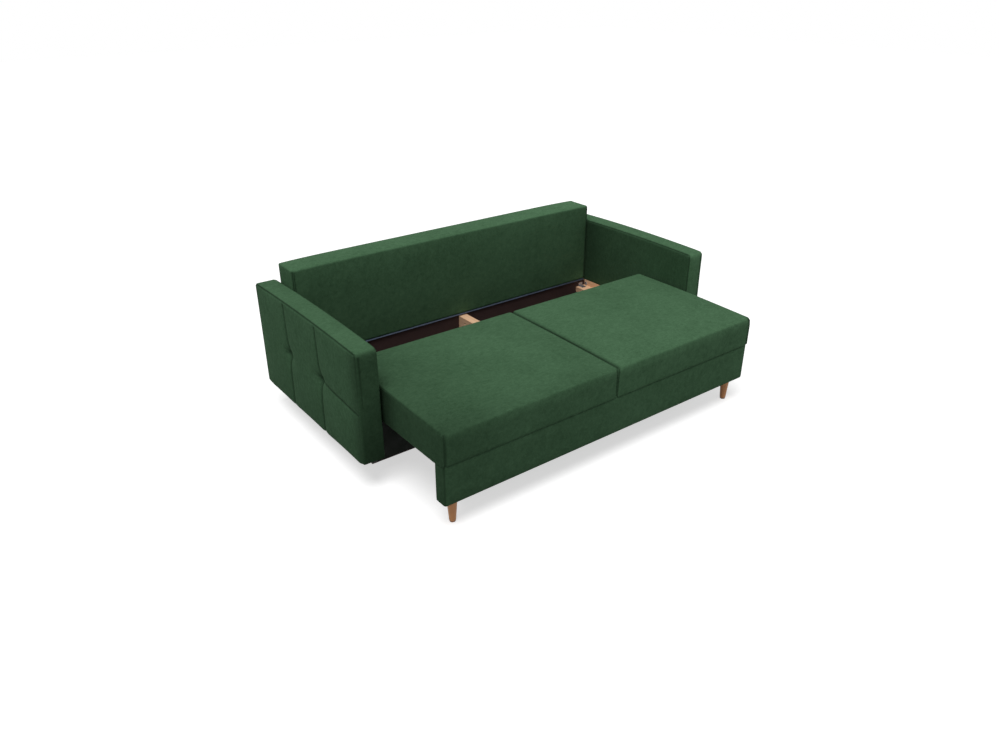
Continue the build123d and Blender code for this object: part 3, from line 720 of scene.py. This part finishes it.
def velvet(use="cover"):
    """The covers' velvet, or a darker copy of it with painted shade for the folds in the seams and for the
    buttons.
    """
    shade_share = VELVET_PAINTED_SHADES[use]
    tones = {"Deep": scaled(colours().velvet_deep, shade_share), "Pale": scaled(colours().velvet_pale, shade_share)}
    name = "green velvet" if use == "cover" else f"green velvet {use}"
    sheen = {"Sheen Weight": 0.03 * shade_share, "Sheen Roughness": 0.4, "Sheen Tint": (0.5, 0.85, 0.52, 1),
             "Specular IOR Level": 0.03}
    return finish(name, "velvet", tones, bump=0.35, bump_depth=0.0006, shader=sheen, reads_painted_light=use == "cover")


def pine(turn, name):
    tones = {"Pale": colours().pine_pale, "Dark": colours().pine_dark}
    return finish(name, "wood", tones, bump=0.2, bump_depth=0.0004, turn=turn,
                  shader={"Specular IOR Level": 0.35})


def cloth_edged_pine(turn, name, cloth_top):
    """Pine with black cloth turned up over its lower part."""
    made = pine(turn, name)
    tree = made.node_tree
    base = tree.nodes["Principled BSDF"].inputs["Base Color"]
    grain = base.links[0].from_socket
    place = tree.nodes.new("ShaderNodeTexCoord")
    split = add_node(tree, "ShaderNodeSeparateXYZ", Vector=place.outputs["Object"])
    fray = 0.0006
    share = scale_range(tree, split.outputs["Z"], cloth_top - fray, cloth_top + fray, 0, 1)
    tree.links.new(blend_colours(tree, share, (*colours().black_cloth, 1), grain), base)
    return made


def repaint(nodes, material):
    """Give CAD nodes a material."""
    for name in nodes:
        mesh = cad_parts[name].data
        mesh.materials.clear()
        mesh.materials.append(material)


def paint(rows):
    """Give CAD nodes their finishes: each row has the nodes, what finish takes, and its shader values."""
    for nodes, name, effect_name, tones, bump, bump_depth, shader in rows:
        repaint(nodes, finish(name, effect_name, tones, bump, bump_depth, shader=shader))


# Pieces

def arm_arch(y, low, high):
    """How far the arm's top rises above its two ends."""
    middle = (low.y + high.y) / 2
    return ARM_ARCH * (1 - ((y - middle) / (high.y - middle)) ** 2)


def arm_lines(low, high):
    """Seams of the left arm's cover, and the places of its two buttons."""
    outward = (-1, 0, 0)
    bay_width = 0.325
    tuft_z = 0.402
    front_drop = 0.024
    lean = 0.006
    lip = 0.002
    edge = 0.004
    border_gap = 0.012
    pair_gap = 0.009
    pair_end = 0.42
    corner_end = 0.47
    inner_end = 0.31
    runs = 12
    rear_seam = high.y - bay_width
    front_seam = rear_seam - bay_width
    panel_x = low.x
    edge_x = low.x + edge
    inner_x = high.x - edge
    front = low.y + edge
    rear = high.y - edge
    bottom = low.z + edge
    stations = [front + (rear - front) * index / runs for index in range(runs + 1)]
    crest = [ARM_TOP - edge + float(arm_arch(y, low, high)) for y in stations]
    buttons = [(panel_x, rear_seam, tuft_z), (panel_x, front_seam, tuft_z)]
    seams = []
    for y in (rear_seam, front_seam):
        line = [(panel_x, y + lean, crest[0] - border_gap), (panel_x, y, tuft_z), (panel_x, y + lean, bottom)]
        seams.append(Seam(line, outward, depth=1.5, cord=0.75))
    seams.append(Seam([buttons[1], (panel_x, front + border_gap, tuft_z - front_drop)], outward, cord=0.7))
    border = [(low.x - lip, y, z - lip) for y, z in zip(stations, crest)]
    border = [(edge_x, front, corner_end)] + border + [(edge_x, rear, bottom)]
    seams.append(Seam(border, depth=1.2, width=0.8, cord=0.7))
    inner_border = [(inner_x, y, z) for y, z in zip(stations, crest)]
    inner_border = [(inner_x, front, inner_end)] + inner_border + [(inner_x, rear, inner_end)]
    seams.append(Seam(inner_border, depth=0.9, width=0.8))
    pair_x = edge_x + pair_gap
    pair = [(pair_x, low.y, crest[0] - sizes().arm_roll), (pair_x, low.y, pair_end)]
    seams.append(Seam(pair, (0, -1, 0), depth=0.8, width=0.7, fades=True))
    pulls = (((0.05, 0.022), (0.06, -0.004), (0.02, 0.04), (-0.03, -0.03)),
             ((0.06, 0.012), (0.045, 0.03), (-0.03, 0.03), (0.02, -0.05)))
    for (x, y, z), reaches in zip(buttons, pulls):
        # A short seam at each button draws it in and paints shade around it, for the dark dimple of the tuft
        seams.append(Seam([(x, y - edge, z), (x, y + edge, z)], outward, width=2.8, cord=0))
        for along, up in reaches:
            line = [(x, y, z), (x, y + along, z + up)]
            seams.append(Seam(line, outward, depth=1.3, width=0.9, fades=True, cord=0))
    return seams, buttons


class SOFA_OT_arms(bpy.types.Operator):
    """Build the two stuffed arm covers with their seams and tufts"""

    bl_idname = "sofa.arms"
    bl_label = "Arm covers"

    def execute(self, context):
        low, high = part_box("arm_upholstery_left")
        rail_low, rail_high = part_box("side_rail_left")
        back_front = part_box("back_upholstery")[0].y
        seams, buttons = arm_lines(low, high)
        outward = (-1, 0, 0)
        proud = 0.003
        panel_depth = 0.006
        seam_hold = 0.006
        start = Vector((low.x - proud, low.y - proud, low.z))
        end = Vector((high.x, high.y + proud, ARM_TOP))
        most = (sizes().arm_fullness, 0.0005, 0.003, 0.001, 0.0, 0.003)
        rolls = {"top front": sizes().arm_roll, "top rear": sizes().arm_roll, "left front": 0.006,
                 "top left": 0.005, "others": EDGE_ROLL}
        arm, held, limit = cover("arm_cover_left", start, end, rolls, GRIP, most)
        points = points_of(arm.data)
        lift_top(arm, low.z, ARM_TOP, lambda places: arm_arch(places[:, 1], low, high))
        outer = points[:, 0] < start.x + panel_depth
        held &= ~lower_edge(points, outer, start, end)
        for seam in seams:
            if seam.facing == outward and seam.cord:
                away = distance_to(across(points, outward), across(seam.line, outward))[0]
                held |= outer & (away < seam_hold)
        swell(arm, held, limit)
        divide_once(arm)
        hang_edge(arm, low, high, [place[1] for place in buttons])
        draw_tufts(arm, buttons, outward)
        draw_seams(arm, seams)
        fit_over_rail(arm, rail_low, rail_high)
        smooth(arm)
        folds = seam_folds("arm_seams_left", arm, seams)
        twin = mirror_twin(arm, "arm_cover_right")
        twin_folds = mirror_twin(folds, "arm_seams_right")
        # Painted shade: the left arm's front and outer side darken towards the floor and its outer side near
        # the front; the right arm's inner side darkens near the back, in the gap's shade
        paint_side_light(arm, PAINTED_SIDE_LIGHT["arm left"], ("front", "z", low.z, 0.18, -0.3), ("left", "z", low.z, 0.15, -0.18),
                ("left", "y", low.y, 0.05, -0.35))
        paint_side_light(twin, PAINTED_SIDE_LIGHT["arm right"], ("left", "y", back_front, 0.12, -0.3))
        for piece, strips, side in ((arm, folds, "left"), (twin, twin_folds, "right")):
            dress_cover(piece, strips, "base", f"arm_upholstery_{side}")
        return {"FINISHED"}


def lower_edge(points, outer, low, high):
    """Which points of the outer panel lie at its lower edge but not its corners: they are free to swell."""
    inside = (points[:, 1] > low.y + GRIP) & (points[:, 1] < high.y - GRIP)
    return outer & inside & (points[:, 2] < low.z + 2 * GRIP)


def hang_edge(arm, low, high, seams_y):
    """Let the outer panel's lower edge hang below the frame, less so at its seams, and lift at the front."""
    drop = 0.007
    board_x = -1.02
    lip = low.x - board_x
    reach = 0.06
    pinch = 0.02
    corner_reach = 0.05
    seam_shares = (0.35, 0.75)
    points = points_of(arm.data)
    outer = np.clip((points[:, 0] - board_x) / lip, 0, 1)
    height = np.clip(1 - (points[:, 2] - low.z) / reach, 0, 1)
    hang = np.ones(len(points))
    for y, share in zip(seams_y, seam_shares):
        hang -= share * np.exp(-((points[:, 1] - y) / pinch) ** 2)
    hang *= np.clip((high.y - points[:, 1]) / reach, 0, 1)
    corner = np.clip(1 - (points[:, 1] - low.y) / corner_reach, 0, 1)
    corner = corner ** 2 * (3 - 2 * corner)
    points[:, 2] += height * (drop * corner - drop * outer * hang * (1 - corner))
    move_points(arm.data, points)


def fit_over_rail(arm, rail_low, rail_high):
    """Let the left arm's inner face step back over the side rail that it stands on."""
    gap = 0.0008
    points = points_of(arm.data)
    inside = points[:, 0] > rail_low.x - gap
    inside &= points[:, 2] < rail_high.z + gap
    inside &= (points[:, 1] > rail_low.y - gap) & (points[:, 1] < rail_high.y + gap)
    points[inside, 0] = rail_low.x - gap
    move_points(arm.data, points)


class SOFA_OT_buttons(bpy.types.Operator):
    """Build the covered buttons of the arms, set into their tufts"""

    bl_idname = "sofa.buttons"
    bl_label = "Arm buttons"

    def execute(self, context):
        low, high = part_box("arm_upholstery_left")
        buttons = arm_lines(low, high)[1]
        radius = 0.0115
        dome = 0.0062
        rim = 0.0022
        sunk = 0.0022
        back_share = 0.86
        steps = 8
        round_steps = 32
        profile = [(0, 0), (radius * back_share, 0), (radius, rim / 2), (radius, rim)]
        for index in range(1, steps + 1):
            turn = math.pi / 2 * index / steps
            profile.append((radius * math.cos(turn), rim + (dome - rim) * math.sin(turn)))
        profile[-1] = (0, dome)
        outward = Matrix.Rotation(-math.pi / 2, 4, "Y")
        inward = Vector((1, 0, 0))
        tree = surface_of(bpy.data.objects["arm_cover_left"])
        pieces = []
        for place in buttons:
            root = tree.ray_cast(Vector(place) - inward * RAY_START, inward)[0]
            button = turned("arm_button", profile, round_steps)
            button.data.transform(Matrix.Translation(root + inward * sunk) @ outward)
            pieces.append(button)
        only(pieces[0])
        pieces[1].select_set(True)
        bpy.ops.object.join()
        left = pieces[0]
        left.name = "arm_buttons_left_covered"
        left.data.name = left.name
        smooth(left)
        right = mirror_twin(left, "arm_buttons_right_covered")
        for piece, side in ((left, "left"), (right, "right")):
            # The buttons take the darker velvet: painted shade for the dimples of their tufts
            dress(piece, velvet("button"), "base", "velvet", f"arm_buttons_{side}")
        return {"FINISHED"}


class SOFA_OT_back(bpy.types.Operator):
    """Build the stuffed back cover"""

    bl_idname = "sofa.back"
    bl_label = "Back cover"

    def execute(self, context):
        low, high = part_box("back_upholstery")
        crown = sizes().back_crown
        proud = 0.003
        lift = 0.0005
        rear_inset = 0.001
        top_crown = 0.001
        top_arch = 0.005
        arch_power = 8
        edge = 0.003
        pair_gap = 0.009
        top_gap = 0.012
        start = Vector((low.x - proud, low.y + crown, low.z + lift))
        end = Vector((high.x + proud, high.y - rear_inset, high.z))
        most = (0.0, 0.0, crown, 0.0005, 0.0, top_crown)
        rolls = {"top front": sizes().back_roll, "others": EDGE_ROLL}
        back, held, limit = cover("back_cover", start, end, rolls, GRIP, most)
        lift_top(back, low.z, end.z, lambda places: top_arch * (1 - (places[:, 0] / end.x) ** arch_power))
        swell(back, held, limit)
        divide_once(back)
        front = start.y + edge
        bottom = low.z + edge
        top = end.z - edge
        seams = []
        for x, inward in ((start.x + edge, 1), (end.x - edge, -1)):
            seams.append(Seam([(x, front, bottom), (x, front, top - edge)], depth=1.3))
            pair_x = x + inward * pair_gap
            pair = [(pair_x, low.y, bottom), (pair_x, low.y, top - top_gap)]
            seams.append(Seam(pair, (0, -1, 0), depth=0.6, width=0.7))
        folds = sew(back, "back_seams", seams)
        # Painted light and shade: the back's front lightens just above its bottom and its top lightens
        # towards the right end; its right end darkens where it faces the gap to the arm
        paint_side_light(back, PAINTED_SIDE_LIGHT["back"], ("front", "z", low.z, 0.05, 0.4), ("top", "x", end.x, 0.6, 0.18))
        dress_cover(back, folds, "back", "back_upholstery")
        return {"FINISHED"}


def seat_lines(start, end):
    """Seams of the left cushion's cover: its corners, the notch in the outer front one and its outer edge."""
    edge = 0.003
    corner_drop = 0.006
    corner_inset = 0.009
    corner_clear = 0.02
    ear = 0.05
    rise = sizes().seat_rise
    top = end.z
    lower = start.z + SEAM_LIFT
    corners = [(start.x + edge, end.y - edge, rise, start.z, 2.0, 1.1),
               (end.x - edge, start.y + edge, 0, lower, 0.8, 0.9),
               (end.x - edge, end.y - edge, rise, start.z, 0.8, 0.9)]
    seams = []
    for x, y, lift, foot, deep, wide in corners:
        line = [(x, y, top + lift - corner_drop), (x, y, foot)]
        seams.append(Seam(line, depth=deep, width=wide, fades=True))
    corner_x = start.x + corner_inset
    corner_top = (corner_x, start.y + edge, top - corner_drop)
    seams.append(Seam([corner_top, (corner_x, start.y, lower)], depth=1.3, width=1.2, cord=1.5))
    seams.append(Seam([corner_top, (corner_x, start.y, top - ear)], depth=2.4, width=1.8, fades=True, cord=0))
    outer_edge = [(start.x + edge, start.y + corner_clear, top - edge),
                  (start.x + edge, end.y - corner_clear, top + rise - edge)]
    seams.append(Seam(outer_edge, depth=0.5, width=0.8))
    return seams


class SOFA_OT_seat(bpy.types.Operator):
    """Build the two stuffed seat cushions"""

    bl_idname = "sofa.seat"
    bl_label = "Seat cushions"

    def execute(self, context):
        low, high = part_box("seat_cushion_left")
        panel_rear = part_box("front_panel_cover")[1].y
        arm_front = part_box("arm_upholstery_left")[0].y
        crown = sizes().seat_crown
        roll = sizes().seat_roll
        rise = sizes().seat_rise
        grip = 0.010
        proud = 0.004
        split_gap = 0.003
        split_start = 0.01
        edge = 0.003
        top_ease = 0.002
        bow = 0.004
        top = high.z - crown + top_ease
        start = Vector((low.x - proud, low.y - proud, low.z))
        end = Vector((-split_gap, high.y + proud, top))
        most = (0.004, 0.0, 0.0015, 0.0015, 0.0, crown)
        side_roll = 0.4 * roll
        split_roll = 0.35 * roll
        rolls = {"top left": side_roll, "top front": roll, "top rear": side_roll, "top right": split_roll,
                 "others": EDGE_ROLL}
        seat, held, limit = cover("seat_cover_left", start, end, rolls, grip, most)

        def raised(places):
            along = (places[:, 1] - start.y) / (end.y - start.y)
            return rise * along + bow * np.sin(np.pi * np.clip(along, 0, 1))

        lift_top(seat, low.z, top, raised)
        swell(seat, held, limit)
        divide_once(seat)
        lift_over_panel(seat, low.z, panel_rear)
        folds = sew(seat, "seat_seams_left", seat_lines(start, end))
        twin = mirror_twin(seat, "seat_cover_right")
        twin_folds = mirror_twin(folds, "seat_seams_right")
        # The right cushion's edge at the split is drawn in and painted with shade, as if the left cushion's
        # edge shadowed it
        split_x = edge - end.x
        split = [(split_x, start.y + split_start, top - edge), (split_x, end.y, top + rise - edge)]
        draw_seams(twin, [Seam(split, depth=1.3, width=1.8)])
        # Painted shade and light: the left cushion's top darkens towards the arm and the front, its front
        # darkens towards the arm and lightens towards the split, and its side darkens by the arm's front
        paint_side_light(seat, PAINTED_SIDE_LIGHT["seat left"], ("top", "x", start.x, 0.3, -0.33), ("top", "y", start.y, 0.1, -0.16),
                ("front", "x", start.x, 0.25, -0.2), ("front", "x", end.x, 0.4, 0.1),
                ("left", "y", arm_front, 0.08, -0.3))
        paint_side_light(twin, PAINTED_SIDE_LIGHT["seat right"])
        for piece, strips, side in ((seat, folds, "left"), (twin, twin_folds, "right")):
            dress_cover(piece, strips, "seat", f"seat_cushion_{side}")
        return {"FINISHED"}


def lift_over_panel(seat, bottom, panel_rear):
    """Raise the cushion's lower edge over the front panel, to the seam between the two."""
    reach = 0.06
    points = points_of(seat.data)
    front = points[:, 1].min()
    height = np.clip(1 - (points[:, 2] - bottom) / reach, 0, 1)
    over = np.clip((panel_rear - points[:, 1]) / (panel_rear - front), 0, 1)
    points[:, 2] += SEAM_LIFT * height * over
    move_points(seat.data, points)


class SOFA_OT_panel(bpy.types.Operator):
    """Build the covered front panel under the seat"""

    bl_idname = "sofa.panel"
    bl_label = "Front panel"

    def execute(self, context):
        low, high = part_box("front_panel_cover")
        swelling = 0.002
        inset = 0.0005
        proud = 0.0025
        hang = 0.002
        tuck = 0.008
        edge = 0.003
        joint_drop = 0.0005
        joint = high.z + SEAM_LIFT
        line = joint - joint_drop
        start = Vector((low.x - proud, low.y + swelling - proud, low.z - hang))
        end = Vector((high.x + proud, high.y - inset, joint + tuck))
        most = (0.0005, 0.0005, swelling, 0.0, 0.0, 0.0)
        rolls = {"left rear": 0.001, "right rear": 0.001, "others": sizes().panel_roll}
        panel, held, limit = cover("panel_cover", start, end, rolls, GRIP, most)
        swell(panel, held, limit)
        divide_once(panel)
        front_line = [(start.x, low.y, line), (end.x, low.y, line)]
        seams = [Seam(front_line, (0, -1, 0), depth=0.15, width=0.6, cord=0.3)]
        for x, corner_x, outward in ((start.x, start.x + edge, (-1, 0, 0)), (end.x, end.x - edge, (1, 0, 0))):
            corner = [(corner_x, start.y + edge, start.z), (corner_x, start.y + edge, joint)]
            seams.append(Seam(corner, depth=0.8, width=0.8))
            side_line = [(x, start.y, line), (x, end.y, line - SEAM_LIFT)]
            seams.append(Seam(side_line, outward, depth=0.2, width=0.6, cord=0.4))
        folds = sew(panel, "panel_seams", seams)
        # Painted shade and light: the panel's front darkens towards its left end and lightens towards its
        # right end
        paint_side_light(panel, PAINTED_SIDE_LIGHT["panel"], ("front", "x", start.x, 0.7, -0.17), ("front", "x", end.x, 0.6, 0.08))
        dress_cover(panel, folds, "seat", "front_panel_cover")
        return {"FINISHED"}


class SOFA_OT_rear_panels(bpy.types.Operator):
    """Build the velvet-covered boards at the rear of the base and of the back"""

    bl_idname = "sofa.rear_panels"
    bl_label = "Rear panels"

    def execute(self, context):
        board_roll = 0.0025
        sharp = math.radians(40)
        for name, node, body in (("base_rear_cover", "base_rear_panel", "base"),
                                 ("back_rear_cover", "back_rear_panel", "back")):
            low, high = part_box(node)
            board = block(name, low, high)
            roll_edges(board, {"others": board_roll})
            only(board)
            bpy.ops.object.shade_smooth_by_angle(angle=sharp)
            dress(board, velvet(), body, "velvet", node)
        return {"FINISHED"}


class SOFA_OT_legs(bpy.types.Operator):
    """Turn the two tapered front legs"""

    bl_idname = "sofa.legs"
    bl_label = "Front legs"

    def execute(self, context):
        tones = {"Pale": colours().stain_pale, "Dark": colours().stain_dark}
        upright = (0, math.pi / 2, 0)
        stain = finish("stained beech", "wood", tones, bump=0.12, bump_depth=0.0003, turn=upright,
                       shader={"Coat Weight": 0.25, "Coat Roughness": 0.3})
        glide_rim = 0.002
        foot_ease = 0.005
        top_ease = 0.001
        ease_steps = 5
        taper_steps = 12
        round_steps = 48
        sharp = math.radians(35)
        for side in ("left", "right"):
            low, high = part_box(f"front_leg_{side}")
            centre = (low + high) / 2
            top_radius = (high.x - low.x) / 2
            foot_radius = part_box("leg_glides")[1].y - centre.y + glide_rim
            profile = [(0, low.z)]
            for index in range(ease_steps + 1):
                turn = math.pi / 2 * index / ease_steps
                radius = foot_radius - foot_ease * (1 - math.sin(turn))
                profile.append((radius, low.z + foot_ease * (1 - math.cos(turn))))
            for index in range(1, taper_steps):
                share = index / taper_steps
                height = low.z + foot_ease + (high.z - low.z - 2 * foot_ease) * share
                profile.append((foot_radius + (top_radius - foot_radius) * share, height))
            profile += [(top_radius, high.z - top_ease), (top_radius - top_ease, high.z), (0, high.z)]
            leg = turned(f"turned_leg_{side}", profile, round_steps)
            leg.data.transform(Matrix.Translation((centre.x, centre.y, 0)))
            only(leg)
            bpy.ops.object.shade_smooth_by_angle(angle=sharp)
            dress(leg, stain, "seat", "stained_wood", f"front_leg_{side}")
        return {"FINISHED"}


class SOFA_OT_boards(bpy.types.Operator):
    """Finish the pine rails and the lined boards"""

    bl_idname = "sofa.boards"
    bl_label = "Boards and linings"

    def execute(self, context):
        repaint(PINE_ALONG_X, pine((0, 0, 0), "pine along the width"))
        repaint(PINE_ALONG_Y, pine((0, 0, math.pi / 2), "pine along the depth"))
        repaint(PINE_UPRIGHT, pine((0, math.pi / 2, 0), "pine upright"))
        cloth_top = 0.2
        repaint(CLOTH_EDGED, cloth_edged_pine((0, 0, math.pi / 2), "cloth-edged pine", cloth_top))
        lining = {"Tone": colours().lining, "Fleck": scaled(colours().lining, 1.5)}
        black = {"Tone": colours().black_cloth, "Fleck": scaled(colours().black_cloth, 2.2)}
        paint((
            (("box_rear_lining", "box_floor"), "brown hardboard", "felt", lining, 0.15, 0.0003,
             {"Specular IOR Level": 0.3}),
            (("front_rail", "arm_dust_covers", "seat_dust_cover"), "black non-woven cloth", "felt", black,
             0.3, 0.0004, {"Specular IOR Level": 0.2}),
        ))
        return {"FINISHED"}


class SOFA_OT_stuffing(bpy.types.Operator):
    """Finish the foam, the webbing and the springs inside"""

    bl_idname = "sofa.stuffing"
    bl_label = "Foam, webbing and springs"

    def execute(self, context):
        foam = {"Tone": (0.82, 0.76, 0.56), "Shade": (0.66, 0.57, 0.36)}
        webbing = {"Tone": (0.11, 0.11, 0.12), "Shade": (0.05, 0.05, 0.055)}
        wire = {"Tone": (0.2, 0.2, 0.21), "Dull": (0.12, 0.11, 0.11)}
        paint((
            (("back_foam", "seat_foam_left", "seat_foam_right"), "upholstery foam", "foam", foam,
             0.4, 0.0008, None),
            (("back_webbing",), "elastic webbing", "foam", webbing, 0.4, 0.0006, None),
            (("seat_springs",), "oiled spring wire", "metal", wire, 0.05, 0.0001, {"Metallic": 1.0}),
        ))
        return {"FINISHED"}


class SOFA_OT_fittings(bpy.types.Operator):
    """Finish the plated steel, the plastic and the rubber"""

    bl_idname = "sofa.fittings"
    bl_label = "Fittings"

    def execute(self, context):
        zinc = {"Tone": colours().zinc, "Dull": scaled(colours().zinc, 0.72)}
        blued = {"Tone": colours().hinge_steel, "Dull": scaled(colours().hinge_steel, 0.7)}
        black = {"Tone": (0.02, 0.02, 0.021), "Dust": (0.06, 0.06, 0.06)}
        brown = {"Tone": (0.3, 0.14, 0.065), "Dust": (0.36, 0.2, 0.11)}
        rubber = {"Tone": (0.016, 0.016, 0.016), "Dust": (0.07, 0.068, 0.064)}
        nylon = {"Tone": (0.74, 0.73, 0.69), "Dust": (0.5, 0.48, 0.44)}
        paint((
            (ZINC_STEEL, "zinc-plated steel", "metal", zinc, 0.08, 0.0001, {"Metallic": 1.0}),
            (HINGE_STEEL, "blued hinge steel", "metal", blued, 0.08, 0.0001, {"Metallic": 0.6}),
            (("base_feet",), "black plastic", "moulded", black, 0.1, 0.0002, None),
            (("leg_glides",), "brown glides", "moulded", brown, 0.1, 0.0002, None),
            (("back_rest_pads",), "black rubber", "moulded", rubber, 0.2, 0.0003,
             {"Specular IOR Level": 0.25}),
            (("roller_left", "roller_right"), "off-white nylon", "moulded", nylon, 0.08, 0.0002,
             {"Subsurface Weight": 0.1}),
        ))
        return {"FINISHED"}


class SOFA_OT_stage(bpy.types.Operator):
    """Set the floor, the light and the camera"""

    bl_idname = "sofa.stage"
    bl_label = "Stage"

    def execute(self, context):
        scene = context.scene
        scene.view_settings.view_transform = "Standard"
        only()
        bpy.ops.mesh.primitive_plane_add(size=40, location=(0, 0, 0))
        floor = context.object
        floor.name = "stage_floor"
        floor.data.materials.append(floor_material())
        set_world(scene)
        bpy.ops.object.light_add(type="SUN", location=(-1.2, -0.7, 4.0))
        lamp = context.object
        lamp.name = "soft_key"
        lamp.data.energy = 2.0
        lamp.data.angle = math.radians(36)
        shining = Vector((0.27, 0.19, -0.94))
        lamp.rotation_euler = shining.to_track_quat("-Z", "Y").to_euler()
        azimuth = math.radians(-37.2956)
        elevation = math.radians(27.264)
        bpy.ops.object.camera_add(location=(-2.3127, -2.8945, 2.0411),
                                  rotation=(math.pi / 2 - elevation, 0, azimuth))
        camera = context.object
        camera.name = "photo_camera"
        camera.data.sensor_fit = "HORIZONTAL"
        camera.data.sensor_width = 36
        camera.data.lens = 28.63
        scene.camera = camera
        return {"FINISHED"}


def seen_directly(tree):
    """1 where the camera or a mirror sees a surface, and 0 where it only lights others."""
    paths = tree.nodes.new("ShaderNodeLightPath")
    seen = add_node(tree, "ShaderNodeMath", {"operation": "MAXIMUM"})
    for way, socket in zip(("Is Camera Ray", "Is Glossy Ray"), seen.inputs):
        tree.links.new(paths.outputs[way], socket)
    return seen.outputs[0]


def floor_material():
    """A pale floor that shows white in the open and keeps the object's shadow."""
    lighting_tone = (0.25, 0.25, 0.25, 1)
    seen_tone = (0.66, 0.66, 0.66, 1)
    white_lift = 0.59
    made = bpy.data.materials.new("pale floor")
    made.use_nodes = True
    tree = made.node_tree
    tree.nodes.clear()
    out = tree.nodes.new("ShaderNodeOutputMaterial")
    plain = add_node(tree, "ShaderNodeBsdfDiffuse", Color=lighting_tone)
    pale = add_node(tree, "ShaderNodeBsdfDiffuse", Color=seen_tone)
    lift = add_node(tree, "ShaderNodeEmission", Color=(1, 1, 1, 1), Strength=white_lift)
    lifted = tree.nodes.new("ShaderNodeAddShader")
    mixed = tree.nodes.new("ShaderNodeMixShader")
    for start, end in ((pale.outputs[0], lifted.inputs[0]), (lift.outputs[0], lifted.inputs[1]),
                       (seen_directly(tree), mixed.inputs[0]), (plain.outputs[0], mixed.inputs[1]),
                       (lifted.outputs[0], mixed.inputs[2]), (mixed.outputs[0], out.inputs["Surface"])):
        tree.links.new(start, end)
    return made


def set_world(scene):
    """An even pale surround, white where the camera sees it."""
    fill_strength = 0.3
    world = bpy.data.worlds.new("studio")
    scene.world = world
    world.use_nodes = True
    tree = world.node_tree
    background = tree.nodes["Background"]
    background.inputs["Color"].default_value = (1, 1, 1, 1)
    strength = scale_range(tree, seen_directly(tree), 0, 1, fill_strength, 1.0)
    tree.links.new(strength, background.inputs["Strength"])


class SOFA_PT_panel(bpy.types.Panel):
    """The sofa bed's pieces, in building order"""

    bl_idname = "SOFA_PT_panel"
    bl_label = "Pull-out sofa bed"
    bl_space_type = "VIEW_3D"
    bl_region_type = "UI"
    bl_category = "Sofa bed"

    def draw(self, context):
        column = self.layout.column()
        for operator in PIECES:
            column.operator(operator.bl_idname)
        for group in (context.scene.sofa_sizes, context.scene.sofa_colours):
            box = self.layout.box()
            for name in group.__annotations__:
                box.prop(group, name)


PIECES = (SOFA_OT_arms, SOFA_OT_buttons, SOFA_OT_back, SOFA_OT_seat, SOFA_OT_panel, SOFA_OT_rear_panels,
          SOFA_OT_legs, SOFA_OT_boards, SOFA_OT_stuffing, SOFA_OT_fittings, SOFA_OT_stage)
CLASSES = (SofaSizes, SofaColours) + PIECES + (SOFA_PT_panel,)


def register():
    for kind in CLASSES:
        bpy.utils.register_class(kind)
    bpy.types.Scene.sofa_sizes = bpy.props.PointerProperty(type=SofaSizes)
    bpy.types.Scene.sofa_colours = bpy.props.PointerProperty(type=SofaColours)


def unregister():
    del bpy.types.Scene.sofa_colours
    del bpy.types.Scene.sofa_sizes
    for kind in reversed(CLASSES):
        bpy.utils.unregister_class(kind)


def main():
    register()
    bpy.ops.sofa.arms()
    bpy.ops.sofa.buttons()
    bpy.ops.sofa.back()
    bpy.ops.sofa.seat()
    bpy.ops.sofa.panel()
    bpy.ops.sofa.rear_panels()
    bpy.ops.sofa.legs()
    bpy.ops.sofa.boards()
    bpy.ops.sofa.stuffing()
    bpy.ops.sofa.fittings()
    bpy.ops.sofa.stage()


if __name__ == "__main__":
    main()
